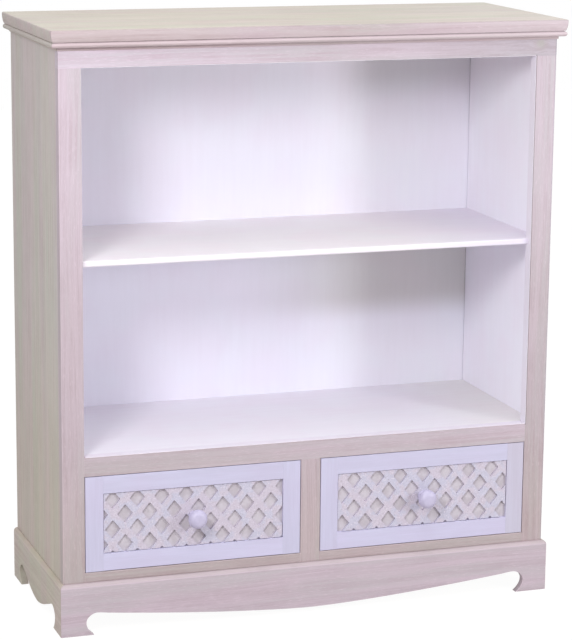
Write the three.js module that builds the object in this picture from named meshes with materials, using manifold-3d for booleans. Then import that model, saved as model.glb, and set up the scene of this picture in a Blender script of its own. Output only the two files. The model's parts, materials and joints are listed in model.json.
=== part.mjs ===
// Bookcase with two bottom drawers, in limed wood and white paint.
// Millimetres, +Z up. The front faces -Y and the back stands towards +Y.
// The origin is on the floor, under the middle of the whole object with its knobs.

import * as THREE from "three";
import { mergeVertices } from "three/addons/utils/BufferGeometryUtils.js";
import Module from "manifold-3d";

const wasm = await Module();
wasm.setup();

// Overall size
const WIDTH = 800;
const TOP_DEPTH = 320;
const HEIGHT = 900;
const BODY_WIDTH = 774;
const BODY_DEPTH = 307.5;
const KNOB_REACH = 27.5;

// Top: a moulded slab on a strip with a half-round bead over a fillet
const SLAB_THICKNESS = 17;
const SLAB_UNDERCUT = 2.5;
const SLAB_ARRIS = 2;
const STRIP_HEIGHT = 13;
const STRIP_WIDTH = 40;
const BEAD_RADIUS = 3.75;
const BEAD_MIDDLE = 8.25;
const BEAD_SETBACK = 1;
const FILLET_SETBACK = 11;

// Face frame
const FRAME_THICKNESS = 18;
const STILE_WIDTH = 33.5;
const TOP_RAIL_HEIGHT = 25;
const MID_RAIL_HEIGHT = 29.5;
const BOTTOM_RAIL_HEIGHT = 14.5;
const MULLION_WIDTH = 31;

// Boards of the carcass: a tongue at each end, shouldered on top, sits in a housing of the side
const SIDE_THICKNESS = 13;
const HOUSING_DEPTH = 4;
const TONGUE_SHOULDER = 3;
const SHELF_THICKNESS = 9;
const SHELF_TOP = 563.5;
const SHELF_SETBACK = 9;
const DECK_THICKNESS = 12;
const DECK_TOP = 272;
const BOTTOM_THICKNESS = 12.5;
const DIVIDER_THICKNESS = 12;
const BACK_THICKNESS = 5;
const BACK_REBATE_DEPTH = 7.5;
const BACK_REBATE_WIDTH = 7;
const GUIDE_HEIGHT = 25;
const GUIDE_PLAY = 1.5;
const KICKER_WIDTH = 40;

// Plinth: scalloped skirts with mitred front corners
const PLINTH_HEIGHT = 80;
const PLINTH_PROUD = { front: 8, side: 6 };
const SKIRT_THICKNESS = 12;
const SKIRT_ARRIS = 5.5;
const PLINTH_RAIL_HEIGHT = 50;
const BLOCK_WIDTH = 16;
const BLOCK_CLEARANCE = 12;
const MITRE_GAP = 0.2;

// Scallop of a skirt, from the outer corner of its foot
const HOOK_TOP = { across: 56, up: 34.5 };
const HOOK_WAIST = { across: 39, up: 20 };
const BELLY_START = 78;
const FRONT_SCALLOP = { tip: 51, low: 9.5, high: 32, power: 1.5 };
const SIDE_SCALLOP = { tip: 50, low: 8.5, high: 30, power: 1.7 };

// Drawers: a front board under an applied frame, with a lattice laid into it
const FRONT_GAP = 1;
const FRONT_BOARD_THICKNESS = 13;
const DRAWER_STILE_WIDTH = 27.5;
const DRAWER_RAIL_HEIGHT = 26.75;
const DRAWER_FRAME_THICKNESS = 5;
const LATTICE_THICKNESS = 3.5;
const LATTICE_GAP = 0.5;
const LATTICE_PITCH = { across: 38, up: 46 };
const LATTICE_OPENING = 0.635;
const LATTICE_SHIFT = { left: -12, right: 0.5, up: 1.25 };
const BOX_INSET = 3;
const BOX_SIDE_THICKNESS = 12;
const BOX_SIDE_HEIGHT = 130;
const BOX_CLEARANCE = 0.5;
const BOX_BACK_PLAY = 1.5;
const DRAWER_BOTTOM_THICKNESS = 4;
const DRAWER_BOTTOM_UP = 10;
const GROOVE_DEPTH = 5;

// Knob and its screw
const KNOB_RADIUS = 14.5;
const KNOB_FOOT_RADIUS = 8;
const KNOB_NECK_RADIUS = 5.5;
const KNOB_HOLE_RADIUS = 2.3;
const SCREW_RADIUS = 2;
const SCREW_HEAD_RADIUS = 4;
const SCREW_HEAD_HEIGHT = 2.2;
const SCREW_IN_KNOB = 12;
const SCREW_HOLE_RADIUS = 2.5;

// Arrises and roundness
const ARRIS = 1;
const ARRIS_STEPS = 2;
const CURVE_STEPS = 6;
const BELLY_STEPS = 14;
const KNOB_SIDES = 28;
const SCREW_SIDES = 16;

// Planes that follow from the sizes above
const KNOB_FACE = -(BODY_DEPTH + KNOB_REACH) / 2;
const FRONT = KNOB_FACE + KNOB_REACH;
const BACK = FRONT + BODY_DEPTH;
const TOP_FRONT = BACK - TOP_DEPTH;
const BODY_SIDE = BODY_WIDTH / 2;
const INSIDE = BODY_SIDE - SIDE_THICKNESS;
const HOUSED = INSIDE + HOUSING_DEPTH;
const FRAME_BACK = FRONT + FRAME_THICKNESS;
const BACK_FACE = BACK - BACK_REBATE_DEPTH;
const OPENING_SIDE = BODY_SIDE - STILE_WIDTH;
const CARCASS_TOP = HEIGHT - SLAB_THICKNESS - STRIP_HEIGHT;
const TOP_RAIL_BOTTOM = CARCASS_TOP - TOP_RAIL_HEIGHT;
const MID_RAIL_BOTTOM = DECK_TOP - MID_RAIL_HEIGHT;
const BOTTOM_TOP = PLINTH_HEIGHT + BOTTOM_RAIL_HEIGHT;
const PLINTH_SIDE = BODY_SIDE + PLINTH_PROUD.side;
const PLINTH_FRONT = FRONT - PLINTH_PROUD.front;

const FRONT_WIDTH = OPENING_SIDE - MULLION_WIDTH / 2 - 2 * FRONT_GAP;
const FRONT_HEIGHT = MID_RAIL_BOTTOM - BOTTOM_TOP - 2 * FRONT_GAP;
const DRAWER_X = (OPENING_SIDE + MULLION_WIDTH / 2) / 2;
const DRAWER_Z = (BOTTOM_TOP + MID_RAIL_BOTTOM) / 2;
const PANEL_WIDTH = FRONT_WIDTH - 2 * DRAWER_STILE_WIDTH;
const PANEL_HEIGHT = FRONT_HEIGHT - 2 * DRAWER_RAIL_HEIGHT;
const BOX_SIDE = FRONT_WIDTH / 2 - BOX_INSET;
const BOX_BACK = BACK_FACE - BOX_BACK_PLAY - FRONT;

// Finishes
const limedWood = () => finish(0xcdbfc1, 0.62);
const whitePaint = () => finish(0xe6e3f0, 0.5);
const latticePaint = () => finish(0xded6de, 0.6);
const groundPaint = () => finish(0xcdc5c1, 0.65);
const bareWood = () => finish(0xcdb592, 0.75);
const plywood = () => finish(0xc6a97e, 0.75);
const steel = () => finish(0xb4b6b8, 0.35, 0.9);

function finish(color, roughness, metalness = 0) {
  return new THREE.MeshStandardMaterial({ color, roughness, metalness });
}

// Directions in which a drawn profile is extruded
const AXIS = {
  x: new THREE.Matrix4().makeBasis(
    new THREE.Vector3(0, 1, 0),
    new THREE.Vector3(0, 0, 1),
    new THREE.Vector3(1, 0, 0),
  ),
  y: new THREE.Matrix4().makeBasis(
    new THREE.Vector3(1, 0, 0),
    new THREE.Vector3(0, 0, 1),
    new THREE.Vector3(0, -1, 0),
  ),
  z: new THREE.Matrix4(),
};

// Extrudes a profile along an axis, from low to high. Along x the profile is drawn in y and
// z, along y in x and z, and along z in x and y.
function extrude(shapes, axis, low, high, curveSegments = CURVE_STEPS) {
  const geometry = new THREE.ExtrudeGeometry(shapes, {
    depth: high - low,
    bevelEnabled: false,
    curveSegments,
  });
  geometry.applyMatrix4(AXIS[axis]);
  const start = { x: [low, 0, 0], y: [0, high, 0], z: [0, 0, low] }[axis];
  return geometry.translate(...start);
}

function rectangle(left, bottom, right, top) {
  const shape = new THREE.Shape();
  shape.moveTo(left, bottom);
  shape.lineTo(right, bottom);
  shape.lineTo(right, top);
  shape.lineTo(left, top);
  return shape;
}

// A rectangle about the origin with a small round arris at each corner
function easedRectangle(width, height, radius) {
  const u = width / 2 - radius;
  const v = height / 2 - radius;
  const shape = new THREE.Shape();
  shape.absarc(u, v, radius, 0, Math.PI / 2);
  shape.absarc(-u, v, radius, Math.PI / 2, Math.PI);
  shape.absarc(-u, -v, radius, Math.PI, 1.5 * Math.PI);
  shape.absarc(u, -v, radius, 1.5 * Math.PI, 2 * Math.PI);
  return shape;
}

function toSolid(geometry) {
  const bare = geometry.clone();
  bare.deleteAttribute("normal");
  bare.deleteAttribute("uv");
  const merged = mergeVertices(bare);
  return new wasm.Manifold(new wasm.Mesh({
    numProp: 3,
    vertProperties: new Float32Array(merged.attributes.position.array),
    triVerts: new Uint32Array(merged.index.array),
  }));
}

function toGeometry(solid) {
  const mesh = solid.getMesh();
  const geometry = new THREE.BufferGeometry();
  geometry.setAttribute("position", new THREE.BufferAttribute(mesh.vertProperties, 3));
  geometry.setIndex(new THREE.BufferAttribute(mesh.triVerts, 1));
  return geometry;
}

function cut(geometry, ...tools) {
  let solid = toSolid(geometry);
  for (const tool of tools) solid = solid.subtract(toSolid(tool));
  return toGeometry(solid);
}

function common(first, second) {
  return toGeometry(toSolid(first).intersect(toSolid(second)));
}

// Keeps the largest body: small corners that a cut sets free fall away
function withoutOffcuts(geometry) {
  const bodies = toSolid(geometry).decompose();
  bodies.sort((a, b) => b.volume() - a.volume());
  return toGeometry(bodies[0]);
}

function piece(name, geometry, material) {
  const mesh = new THREE.Mesh(geometry, material);
  mesh.name = name;
  return mesh;
}

// A straight board between two corners, with its grain along an axis and its long arrises
// eased
function board(name, grain, low, high, material) {
  const size = high.map((value, i) => value - low[i]);
  const [length, width, height] = {
    x: [size[0], size[1], size[2]],
    y: [size[1], size[0], size[2]],
    z: [size[2], size[0], size[1]],
  }[grain];
  const section = easedRectangle(width, height, ARRIS);
  const geometry = extrude(section, grain, -length / 2, length / 2, ARRIS_STEPS);
  const mesh = piece(name, geometry, material);
  mesh.position.set(...high.map((value, i) => (value + low[i]) / 2));
  return mesh;
}

// Edge of the top slab: undercut at the foot, round at the upper arris
function slabSection(outer, inner, bothSides) {
  const bottom = HEIGHT - SLAB_THICKNESS;
  const swell = HEIGHT - 2 * SLAB_ARRIS;
  const shape = new THREE.Shape();
  shape.moveTo(outer + SLAB_UNDERCUT, bottom);
  if (bothSides) {
    shape.lineTo(inner - SLAB_UNDERCUT, bottom);
    shape.quadraticCurveTo(inner, (bottom + swell) / 2, inner, swell);
    shape.lineTo(inner, HEIGHT - SLAB_ARRIS);
    shape.absarc(inner - SLAB_ARRIS, HEIGHT - SLAB_ARRIS, SLAB_ARRIS, 0, Math.PI / 2);
  } else {
    shape.lineTo(inner, bottom);
    shape.lineTo(inner, HEIGHT);
  }
  shape.absarc(outer + SLAB_ARRIS, HEIGHT - SLAB_ARRIS, SLAB_ARRIS, Math.PI / 2, Math.PI);
  shape.lineTo(outer, swell);
  shape.quadraticCurveTo(outer, (bottom + swell) / 2, outer + SLAB_UNDERCUT, bottom);
  return shape;
}

function topBoard() {
  const alongWidth = extrude(slabSection(TOP_FRONT, BACK, false), "x", -WIDTH / 2, WIDTH / 2);
  const section = slabSection(-WIDTH / 2, WIDTH / 2, true);
  const alongDepth = extrude(section, "y", TOP_FRONT, BACK);
  return piece("top_board", common(alongWidth, alongDepth), limedWood());
}

// Section of a top strip: u runs inwards from the edge of the slab, v upwards
function stripSection() {
  const bead = BEAD_SETBACK + BEAD_RADIUS;
  const shape = new THREE.Shape();
  shape.moveTo(BEAD_SETBACK + STRIP_WIDTH, 0);
  shape.lineTo(BEAD_SETBACK + STRIP_WIDTH, STRIP_HEIGHT);
  shape.lineTo(bead, STRIP_HEIGHT);
  shape.lineTo(bead, BEAD_MIDDLE + BEAD_RADIUS);
  shape.absarc(bead, BEAD_MIDDLE, BEAD_RADIUS, Math.PI / 2, 1.5 * Math.PI);
  shape.lineTo(FILLET_SETBACK, BEAD_MIDDLE - BEAD_RADIUS);
  shape.lineTo(FILLET_SETBACK, 0);
  return shape;
}

// Moves the end faces of a length extruded along x, so that each end is a mitre: the deeper
// a point lies behind the outer edge, the shorter the length is there
function mitreEnds(geometry, leftEnd, rightEnd) {
  const position = geometry.attributes.position;
  for (let i = 0; i < position.count; i += 1) {
    const depth = position.getY(i);
    const atRight = position.getX(i) > 0;
    if (atRight && rightEnd) position.setX(i, position.getX(i) - depth);
    if (!atRight && leftEnd) position.setX(i, position.getX(i) + depth);
  }
  return geometry;
}

// A top strip of one side. Its local x runs along the edge, its local y inwards.
function topStrip(name, length, leftEnd, rightEnd) {
  const section = stripSection();
  const low = leftEnd ? -length / 2 + MITRE_GAP : -length / 2;
  const high = rightEnd ? length / 2 - MITRE_GAP : length / 2;
  const geometry = mitreEnds(extrude(section, "x", low, high), leftEnd, rightEnd);
  return piece(name, geometry, limedWood());
}

function topStrips() {
  const group = new THREE.Group();
  const middle = (TOP_FRONT + BACK) / 2;

  const front = topStrip("top_strip_front", WIDTH, true, true);
  front.position.set(0, TOP_FRONT, CARCASS_TOP);

  const left = topStrip("top_strip_left", TOP_DEPTH, false, true);
  left.rotation.z = -Math.PI / 2;
  left.position.set(-WIDTH / 2, middle, CARCASS_TOP);

  const right = topStrip("top_strip_right", TOP_DEPTH, true, false);
  right.rotation.z = Math.PI / 2;
  right.position.set(WIDTH / 2, middle, CARCASS_TOP);

  const inner = WIDTH / 2 - BEAD_SETBACK - STRIP_WIDTH;
  const back = board(
    "top_strip_back", "x",
    [-inner, BACK - STRIP_WIDTH, CARCASS_TOP],
    [inner, BACK, HEIGHT - SLAB_THICKNESS],
    bareWood(),
  );
  return group.add(front, left, right, back);
}

function faceFrame() {
  const group = new THREE.Group();
  const member = (name, grain, left, bottom, right, top) => group.add(board(
    name, grain, [left, FRONT, bottom], [right, FRAME_BACK, top], limedWood(),
  ));
  const half = MULLION_WIDTH / 2;
  member("top_rail", "x", -BODY_SIDE, TOP_RAIL_BOTTOM, BODY_SIDE, CARCASS_TOP);
  member("stile_left", "z", -BODY_SIDE, PLINTH_HEIGHT, -OPENING_SIDE, TOP_RAIL_BOTTOM);
  member("stile_right", "z", OPENING_SIDE, PLINTH_HEIGHT, BODY_SIDE, TOP_RAIL_BOTTOM);
  member("mid_rail", "x", -OPENING_SIDE, MID_RAIL_BOTTOM, OPENING_SIDE, DECK_TOP);
  member("mullion", "z", -half, PLINTH_HEIGHT, half, MID_RAIL_BOTTOM);
  member("bottom_rail_left", "x", -OPENING_SIDE, PLINTH_HEIGHT, -half, BOTTOM_TOP);
  member("bottom_rail_right", "x", half, PLINTH_HEIGHT, OPENING_SIDE, BOTTOM_TOP);
  return group;
}

// A side panel, with a housing for each board that it carries and a rebate for the back.
// side is -1 on the left and 1 on the right.
function sidePanel(name, side) {
  const slot = (top, thickness) => rectangle(
    side > 0 ? 0 : -HOUSED, top - thickness, side > 0 ? HOUSED : 0, top - TONGUE_SHOULDER,
  );
  const outline = rectangle(
    side > 0 ? INSIDE : -BODY_SIDE, PLINTH_HEIGHT, side > 0 ? BODY_SIDE : -INSIDE, CARCASS_TOP,
  );
  const slots = [
    slot(SHELF_TOP, SHELF_THICKNESS),
    slot(DECK_TOP, DECK_THICKNESS),
    slot(BOTTOM_TOP, BOTTOM_THICKNESS),
  ];
  const beyond = 10;
  const rebateSide = INSIDE + BACK_REBATE_WIDTH;
  const rebate = rectangle(
    side > 0 ? 0 : -rebateSide, BACK_FACE, side > 0 ? rebateSide : 0, BACK + beyond,
  );
  const geometry = cut(
    extrude(outline, "y", FRAME_BACK, BACK),
    extrude(slots, "y", FRAME_BACK - beyond, BACK + beyond),
    extrude(rebate, "z", PLINTH_HEIGHT - beyond, CARCASS_TOP + beyond),
  );
  return piece(name, geometry, limedWood());
}

function backPanel() {
  const side = INSIDE + BACK_REBATE_WIDTH;
  const outline = rectangle(-side, PLINTH_HEIGHT, side, CARCASS_TOP);
  const geometry = extrude(outline, "y", BACK_FACE, BACK_FACE + BACK_THICKNESS);
  return piece("back_panel", geometry, whitePaint());
}

// Front view of a board with a tongue at each end
function tonguedOutline(top, thickness) {
  const bottom = top - thickness;
  const shoulder = top - TONGUE_SHOULDER;
  const shape = new THREE.Shape();
  shape.moveTo(-HOUSED, bottom);
  shape.lineTo(HOUSED, bottom);
  shape.lineTo(HOUSED, shoulder);
  shape.lineTo(INSIDE, shoulder);
  shape.lineTo(INSIDE, top);
  shape.lineTo(-INSIDE, top);
  shape.lineTo(-INSIDE, shoulder);
  shape.lineTo(-HOUSED, shoulder);
  return shape;
}

// The shelf reaches forward between the stiles, and its front edge is rounded over
function shelf() {
  const nose = FRONT + SHELF_SETBACK;
  const plan = new THREE.Shape();
  plan.moveTo(-OPENING_SIDE, nose);
  plan.lineTo(OPENING_SIDE, nose);
  plan.lineTo(OPENING_SIDE, FRAME_BACK);
  plan.lineTo(HOUSED, FRAME_BACK);
  plan.lineTo(HOUSED, BACK_FACE);
  plan.lineTo(-HOUSED, BACK_FACE);
  plan.lineTo(-HOUSED, FRAME_BACK);
  plan.lineTo(-OPENING_SIDE, FRAME_BACK);

  const radius = SHELF_THICKNESS / 4;
  const bottom = SHELF_TOP - SHELF_THICKNESS;
  const section = new THREE.Shape();
  section.moveTo(BACK_FACE, bottom);
  section.lineTo(BACK_FACE, SHELF_TOP);
  section.absarc(nose + radius, SHELF_TOP - radius, radius, Math.PI / 2, Math.PI);
  section.absarc(nose + radius, bottom + radius, radius, Math.PI, 1.5 * Math.PI);

  const notched = common(
    extrude(plan, "z", bottom, SHELF_TOP),
    extrude(section, "x", -HOUSED, HOUSED, ARRIS_STEPS),
  );
  const tongued = extrude(tonguedOutline(SHELF_TOP, SHELF_THICKNESS), "y", FRONT, BACK);
  return piece("shelf", common(notched, tongued), whitePaint());
}

// A level board let into both sides, behind the face frame
function housedBoard(name, top, thickness, material) {
  const outline = tonguedOutline(top, thickness);
  return piece(name, extrude(outline, "y", FRAME_BACK, BACK_FACE), material);
}

// Divider, guides beside the drawers and kickers that keep them from tipping
function drawerBay() {
  const group = new THREE.Group();
  const half = DIVIDER_THICKNESS / 2;
  const deckBottom = DECK_TOP - DECK_THICKNESS;
  const strip = (name, left, bottom, right, top) => group.add(board(
    name, "y", [left, FRAME_BACK, bottom], [right, BACK_FACE, top], bareWood(),
  ));
  strip("drawer_divider", -half, BOTTOM_TOP, half, deckBottom);

  const guideTop = BOTTOM_TOP + GUIDE_HEIGHT;
  const outer = DRAWER_X + BOX_SIDE + GUIDE_PLAY;
  const inner = DRAWER_X - BOX_SIDE - GUIDE_PLAY;
  strip("guide_left_outer", -INSIDE, BOTTOM_TOP, -outer, guideTop);
  strip("guide_left_inner", -inner, BOTTOM_TOP, -half, guideTop);
  strip("guide_right_inner", half, BOTTOM_TOP, inner, guideTop);
  strip("guide_right_outer", outer, BOTTOM_TOP, INSIDE, guideTop);

  const kicker = KICKER_WIDTH / 2;
  strip("kicker_left", -DRAWER_X - kicker, MID_RAIL_BOTTOM, -DRAWER_X + kicker, deckBottom);
  strip("kicker_right", DRAWER_X - kicker, MID_RAIL_BOTTOM, DRAWER_X + kicker, deckBottom);
  return group;
}

// Half of a skirt's lower edge, from the outer corner to the middle: the flat foot, its
// pointed tip, the hook above it and the belly that hangs down to the middle
function scallop(length, { tip, low, high, power }) {
  const half = length / 2;
  const path = new THREE.Path();
  path.moveTo(0, 0);
  path.lineTo(tip, 0);
  path.bezierCurveTo(
    HOOK_WAIST.across + 6, 5,
    HOOK_WAIST.across, 11,
    HOOK_WAIST.across, HOOK_WAIST.up,
  );
  path.bezierCurveTo(
    HOOK_WAIST.across, HOOK_WAIST.up + 8,
    HOOK_TOP.across - 7, HOOK_TOP.up,
    HOOK_TOP.across, HOOK_TOP.up,
  );
  path.bezierCurveTo(
    HOOK_TOP.across + 6, HOOK_TOP.up,
    BELLY_START - 6, high + 0.5,
    BELLY_START, high,
  );
  const points = path.getPoints(CURVE_STEPS);
  const reach = half - BELLY_START;
  for (let i = 1; i <= BELLY_STEPS; i += 1) {
    const across = reach * (1 - i / BELLY_STEPS);
    const up = low + (high - low) * (across / reach) ** power;
    points.push(new THREE.Vector2(half - across, up));
  }
  return points;
}

function skirtOutline(length, form) {
  const half = scallop(length, form);
  const other = half.slice(0, -1).reverse().map((p) => new THREE.Vector2(length - p.x, p.y));
  const edge = [...half, ...other];
  const top = [new THREE.Vector2(length, PLINTH_HEIGHT), new THREE.Vector2(0, PLINTH_HEIGHT)];
  return new THREE.Shape([...edge, ...top]);
}

// Section of a skirt: u runs inwards from its outer face, v upwards, and the upper outer
// arris is round
function skirtSection() {
  const shape = new THREE.Shape();
  shape.moveTo(0, 0);
  shape.lineTo(SKIRT_THICKNESS, 0);
  shape.lineTo(SKIRT_THICKNESS, PLINTH_HEIGHT);
  shape.absarc(SKIRT_ARRIS, PLINTH_HEIGHT - SKIRT_ARRIS, SKIRT_ARRIS, Math.PI / 2, Math.PI);
  return shape;
}

// A skirt: its local x runs along the outer face, its local y inwards, and each mitred end
// meets the next skirt
function skirt(name, length, form, leftEnd, rightEnd) {
  const low = leftEnd ? MITRE_GAP : 0;
  const high = rightEnd ? length - MITRE_GAP : length;
  const centred = extrude(skirtSection(), "x", low - length / 2, high - length / 2);
  const moulded = mitreEnds(centred, leftEnd, rightEnd).translate(length / 2, 0, 0);
  const cutOut = extrude(skirtOutline(length, form), "y", 0, SKIRT_THICKNESS);
  return piece(name, common(moulded, cutOut), limedWood());
}

function plinth() {
  const group = new THREE.Group();
  const depth = BACK - PLINTH_FRONT;

  const front = skirt("skirt_front", 2 * PLINTH_SIDE, FRONT_SCALLOP, true, true);
  front.position.set(-PLINTH_SIDE, PLINTH_FRONT, 0);

  const left = skirt("skirt_left", depth, SIDE_SCALLOP, false, true);
  left.rotation.z = -Math.PI / 2;
  left.position.set(-PLINTH_SIDE, BACK, 0);

  const right = skirt("skirt_right", depth, SIDE_SCALLOP, true, false);
  right.rotation.z = Math.PI / 2;
  right.position.set(PLINTH_SIDE, PLINTH_FRONT, 0);

  const inside = PLINTH_SIDE - SKIRT_THICKNESS;
  const railFront = BACK_FACE - SKIRT_THICKNESS + BACK_THICKNESS;
  const rail = board(
    "plinth_back_rail", "x",
    [-inside, railFront, PLINTH_HEIGHT - PLINTH_RAIL_HEIGHT],
    [inside, railFront + SKIRT_THICKNESS, PLINTH_HEIGHT],
    bareWood(),
  );
  group.add(front, left, right, rail);

  const block = (name, side, from) => group.add(board(
    name, "z",
    [side > 0 ? inside - BLOCK_WIDTH : -inside, from, BLOCK_CLEARANCE],
    [side > 0 ? inside : BLOCK_WIDTH - inside, from + BLOCK_WIDTH, PLINTH_HEIGHT],
    bareWood(),
  ));
  const blockFront = PLINTH_FRONT + SKIRT_THICKNESS;
  block("corner_block_front_left", -1, blockFront);
  block("corner_block_front_right", 1, blockFront);
  block("corner_block_back_left", -1, railFront - BLOCK_WIDTH);
  block("corner_block_back_right", 1, railFront - BLOCK_WIDTH);
  return group;
}

// A drawer is drawn about the middle of its front face: x to the right, y inwards, z up
function drawerFrontFrame(label) {
  const group = new THREE.Group();
  const side = FRONT_WIDTH / 2;
  const top = FRONT_HEIGHT / 2;
  const innerSide = PANEL_WIDTH / 2;
  const innerTop = PANEL_HEIGHT / 2;
  const member = (part, grain, left, bottom, right, upper) => group.add(board(
    `drawer_${label}_${part}`, grain,
    [left, 0, bottom], [right, DRAWER_FRAME_THICKNESS, upper], whitePaint(),
  ));
  member("stile_left", "z", -side, -top, -innerSide, top);
  member("stile_right", "z", innerSide, -top, side, top);
  member("rail_top", "x", -innerSide, innerTop, innerSide, top);
  member("rail_bottom", "x", -innerSide, -top, innerSide, -innerTop);
  return group;
}

// Diamond openings of the lattice, in rows that step sideways by half a pitch
function latticeDiamonds(shift) {
  const halfAcross = LATTICE_PITCH.across / 2;
  const halfUp = LATTICE_PITCH.up / 2;
  const across = halfAcross * LATTICE_OPENING;
  const up = halfUp * LATTICE_OPENING;
  const columns = Math.ceil(PANEL_WIDTH / LATTICE_PITCH.across / 2) + 1;
  const rows = Math.ceil(PANEL_HEIGHT / LATTICE_PITCH.up) + 1;
  const diamonds = [];
  for (let row = -rows; row <= rows; row += 1) {
    const z = LATTICE_SHIFT.up + (row + 0.5) * halfUp;
    const stagger = row % 2 === 0 ? halfAcross : 0;
    for (let column = -columns; column <= columns; column += 1) {
      const x = shift + stagger + column * LATTICE_PITCH.across;
      const diamond = new THREE.Shape();
      diamond.moveTo(x + across, z);
      diamond.lineTo(x, z + up);
      diamond.lineTo(x - across, z);
      diamond.lineTo(x, z - up);
      diamonds.push(diamond);
    }
  }
  return diamonds;
}

function screwHole(from, to) {
  const shape = new THREE.Shape();
  shape.absarc(0, 0, SCREW_HOLE_RADIUS, 0, 2 * Math.PI);
  return extrude(shape, "y", from, to, SCREW_SIDES);
}

function lattice(label, shift) {
  const side = PANEL_WIDTH / 2 - LATTICE_GAP;
  const top = PANEL_HEIGHT / 2 - LATTICE_GAP;
  const back = DRAWER_FRAME_THICKNESS;
  const front = back - LATTICE_THICKNESS;
  const plate = extrude(rectangle(-side, -top, side, top), "y", front, back);
  const openings = extrude(latticeDiamonds(shift), "y", front - 1, back + 1);
  const fretted = cut(plate, openings, screwHole(front - 1, back + 1));
  return piece(`drawer_${label}_lattice`, withoutOffcuts(fretted), latticePaint());
}

function drawerFrontBoard(label) {
  const front = DRAWER_FRAME_THICKNESS;
  const back = front + FRONT_BOARD_THICKNESS;
  const outline = rectangle(
    -FRONT_WIDTH / 2, -FRONT_HEIGHT / 2, FRONT_WIDTH / 2, FRONT_HEIGHT / 2,
  );
  const { left, right, bottom } = drawerBottomEdges();
  const groove = rectangle(left, bottom, right, bottom + DRAWER_BOTTOM_THICKNESS);
  const geometry = cut(
    extrude(outline, "y", front, back),
    extrude(groove, "y", back - GROOVE_DEPTH, back + 1),
    screwHole(front - 1, back + 1),
  );
  return piece(`drawer_${label}_front_board`, geometry, groundPaint());
}

function boxBottomEdge() {
  return BOTTOM_TOP + BOX_CLEARANCE - DRAWER_Z;
}

function drawerBottomEdges() {
  const reach = BOX_SIDE - BOX_SIDE_THICKNESS + GROOVE_DEPTH;
  return { left: -reach, right: reach, bottom: boxBottomEdge() + DRAWER_BOTTOM_UP };
}

// A side of the drawer box, grooved for the bottom panel
function boxSide(label, name, side) {
  const low = boxBottomEdge();
  const outer = side * BOX_SIDE;
  const inner = side * (BOX_SIDE - BOX_SIDE_THICKNESS);
  const grooved = inner + side * GROOVE_DEPTH;
  const grooveLow = low + DRAWER_BOTTOM_UP;
  const grooveHigh = grooveLow + DRAWER_BOTTOM_THICKNESS;
  const section = new THREE.Shape();
  section.moveTo(outer, low);
  section.lineTo(outer, low + BOX_SIDE_HEIGHT);
  section.lineTo(inner, low + BOX_SIDE_HEIGHT);
  section.lineTo(inner, grooveHigh);
  section.lineTo(grooved, grooveHigh);
  section.lineTo(grooved, grooveLow);
  section.lineTo(inner, grooveLow);
  section.lineTo(inner, low);
  const geometry = extrude(section, "y", FRAME_THICKNESS, BOX_BACK);
  return piece(`drawer_${label}_${name}`, geometry, bareWood());
}

function drawerBox(label) {
  const group = new THREE.Group();
  const { left, right, bottom } = drawerBottomEdges();
  const bottomTop = bottom + DRAWER_BOTTOM_THICKNESS;
  const inner = BOX_SIDE - BOX_SIDE_THICKNESS;
  const front = FRAME_THICKNESS - GROOVE_DEPTH;

  const floorGeometry = extrude(rectangle(left, front, right, BOX_BACK), "z", bottom, bottomTop);
  const floor = piece(`drawer_${label}_bottom`, floorGeometry, plywood());

  const backBoard = board(
    `drawer_${label}_back`, "x",
    [-inner, BOX_BACK - BOX_SIDE_THICKNESS, bottomTop],
    [inner, BOX_BACK, boxBottomEdge() + BOX_SIDE_HEIGHT],
    bareWood(),
  );
  return group.add(
    boxSide(label, "side_left", -1), boxSide(label, "side_right", 1), floor, backBoard,
  );
}

// Turned knob, drawn from its foot (height 0) to its face, with a blind hole for the screw
function knobProfile() {
  const height = KNOB_REACH + DRAWER_FRAME_THICKNESS - LATTICE_THICKNESS;
  const neck = 0.28 * height;
  const rim = 0.68 * height;
  const holeDepth = SCREW_IN_KNOB + 1;
  const path = new THREE.Path();
  path.moveTo(0, holeDepth);
  path.lineTo(KNOB_HOLE_RADIUS, holeDepth);
  path.lineTo(KNOB_HOLE_RADIUS, 0);
  path.lineTo(KNOB_FOOT_RADIUS, 0);
  path.quadraticCurveTo(KNOB_FOOT_RADIUS + 0.8, 1.2, KNOB_FOOT_RADIUS, 2.4);
  path.quadraticCurveTo(KNOB_NECK_RADIUS, 3.4, KNOB_NECK_RADIUS, neck);
  path.bezierCurveTo(KNOB_NECK_RADIUS, neck + 6, KNOB_RADIUS, neck + 4, KNOB_RADIUS, rim);
  path.bezierCurveTo(
    KNOB_RADIUS, height - 4,
    KNOB_RADIUS - 4, height - 1.2,
    KNOB_RADIUS / 2, height - 0.5,
  );
  path.quadraticCurveTo(KNOB_RADIUS / 4, height, 0, height);
  return path.getPoints(CURVE_STEPS);
}

function knob(label) {
  const geometry = new THREE.LatheGeometry(knobProfile(), KNOB_SIDES);
  const mesh = piece(`drawer_${label}_knob`, geometry, whitePaint());
  mesh.rotation.x = Math.PI;
  mesh.position.y = DRAWER_FRAME_THICKNESS - LATTICE_THICKNESS;
  return mesh;
}

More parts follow.
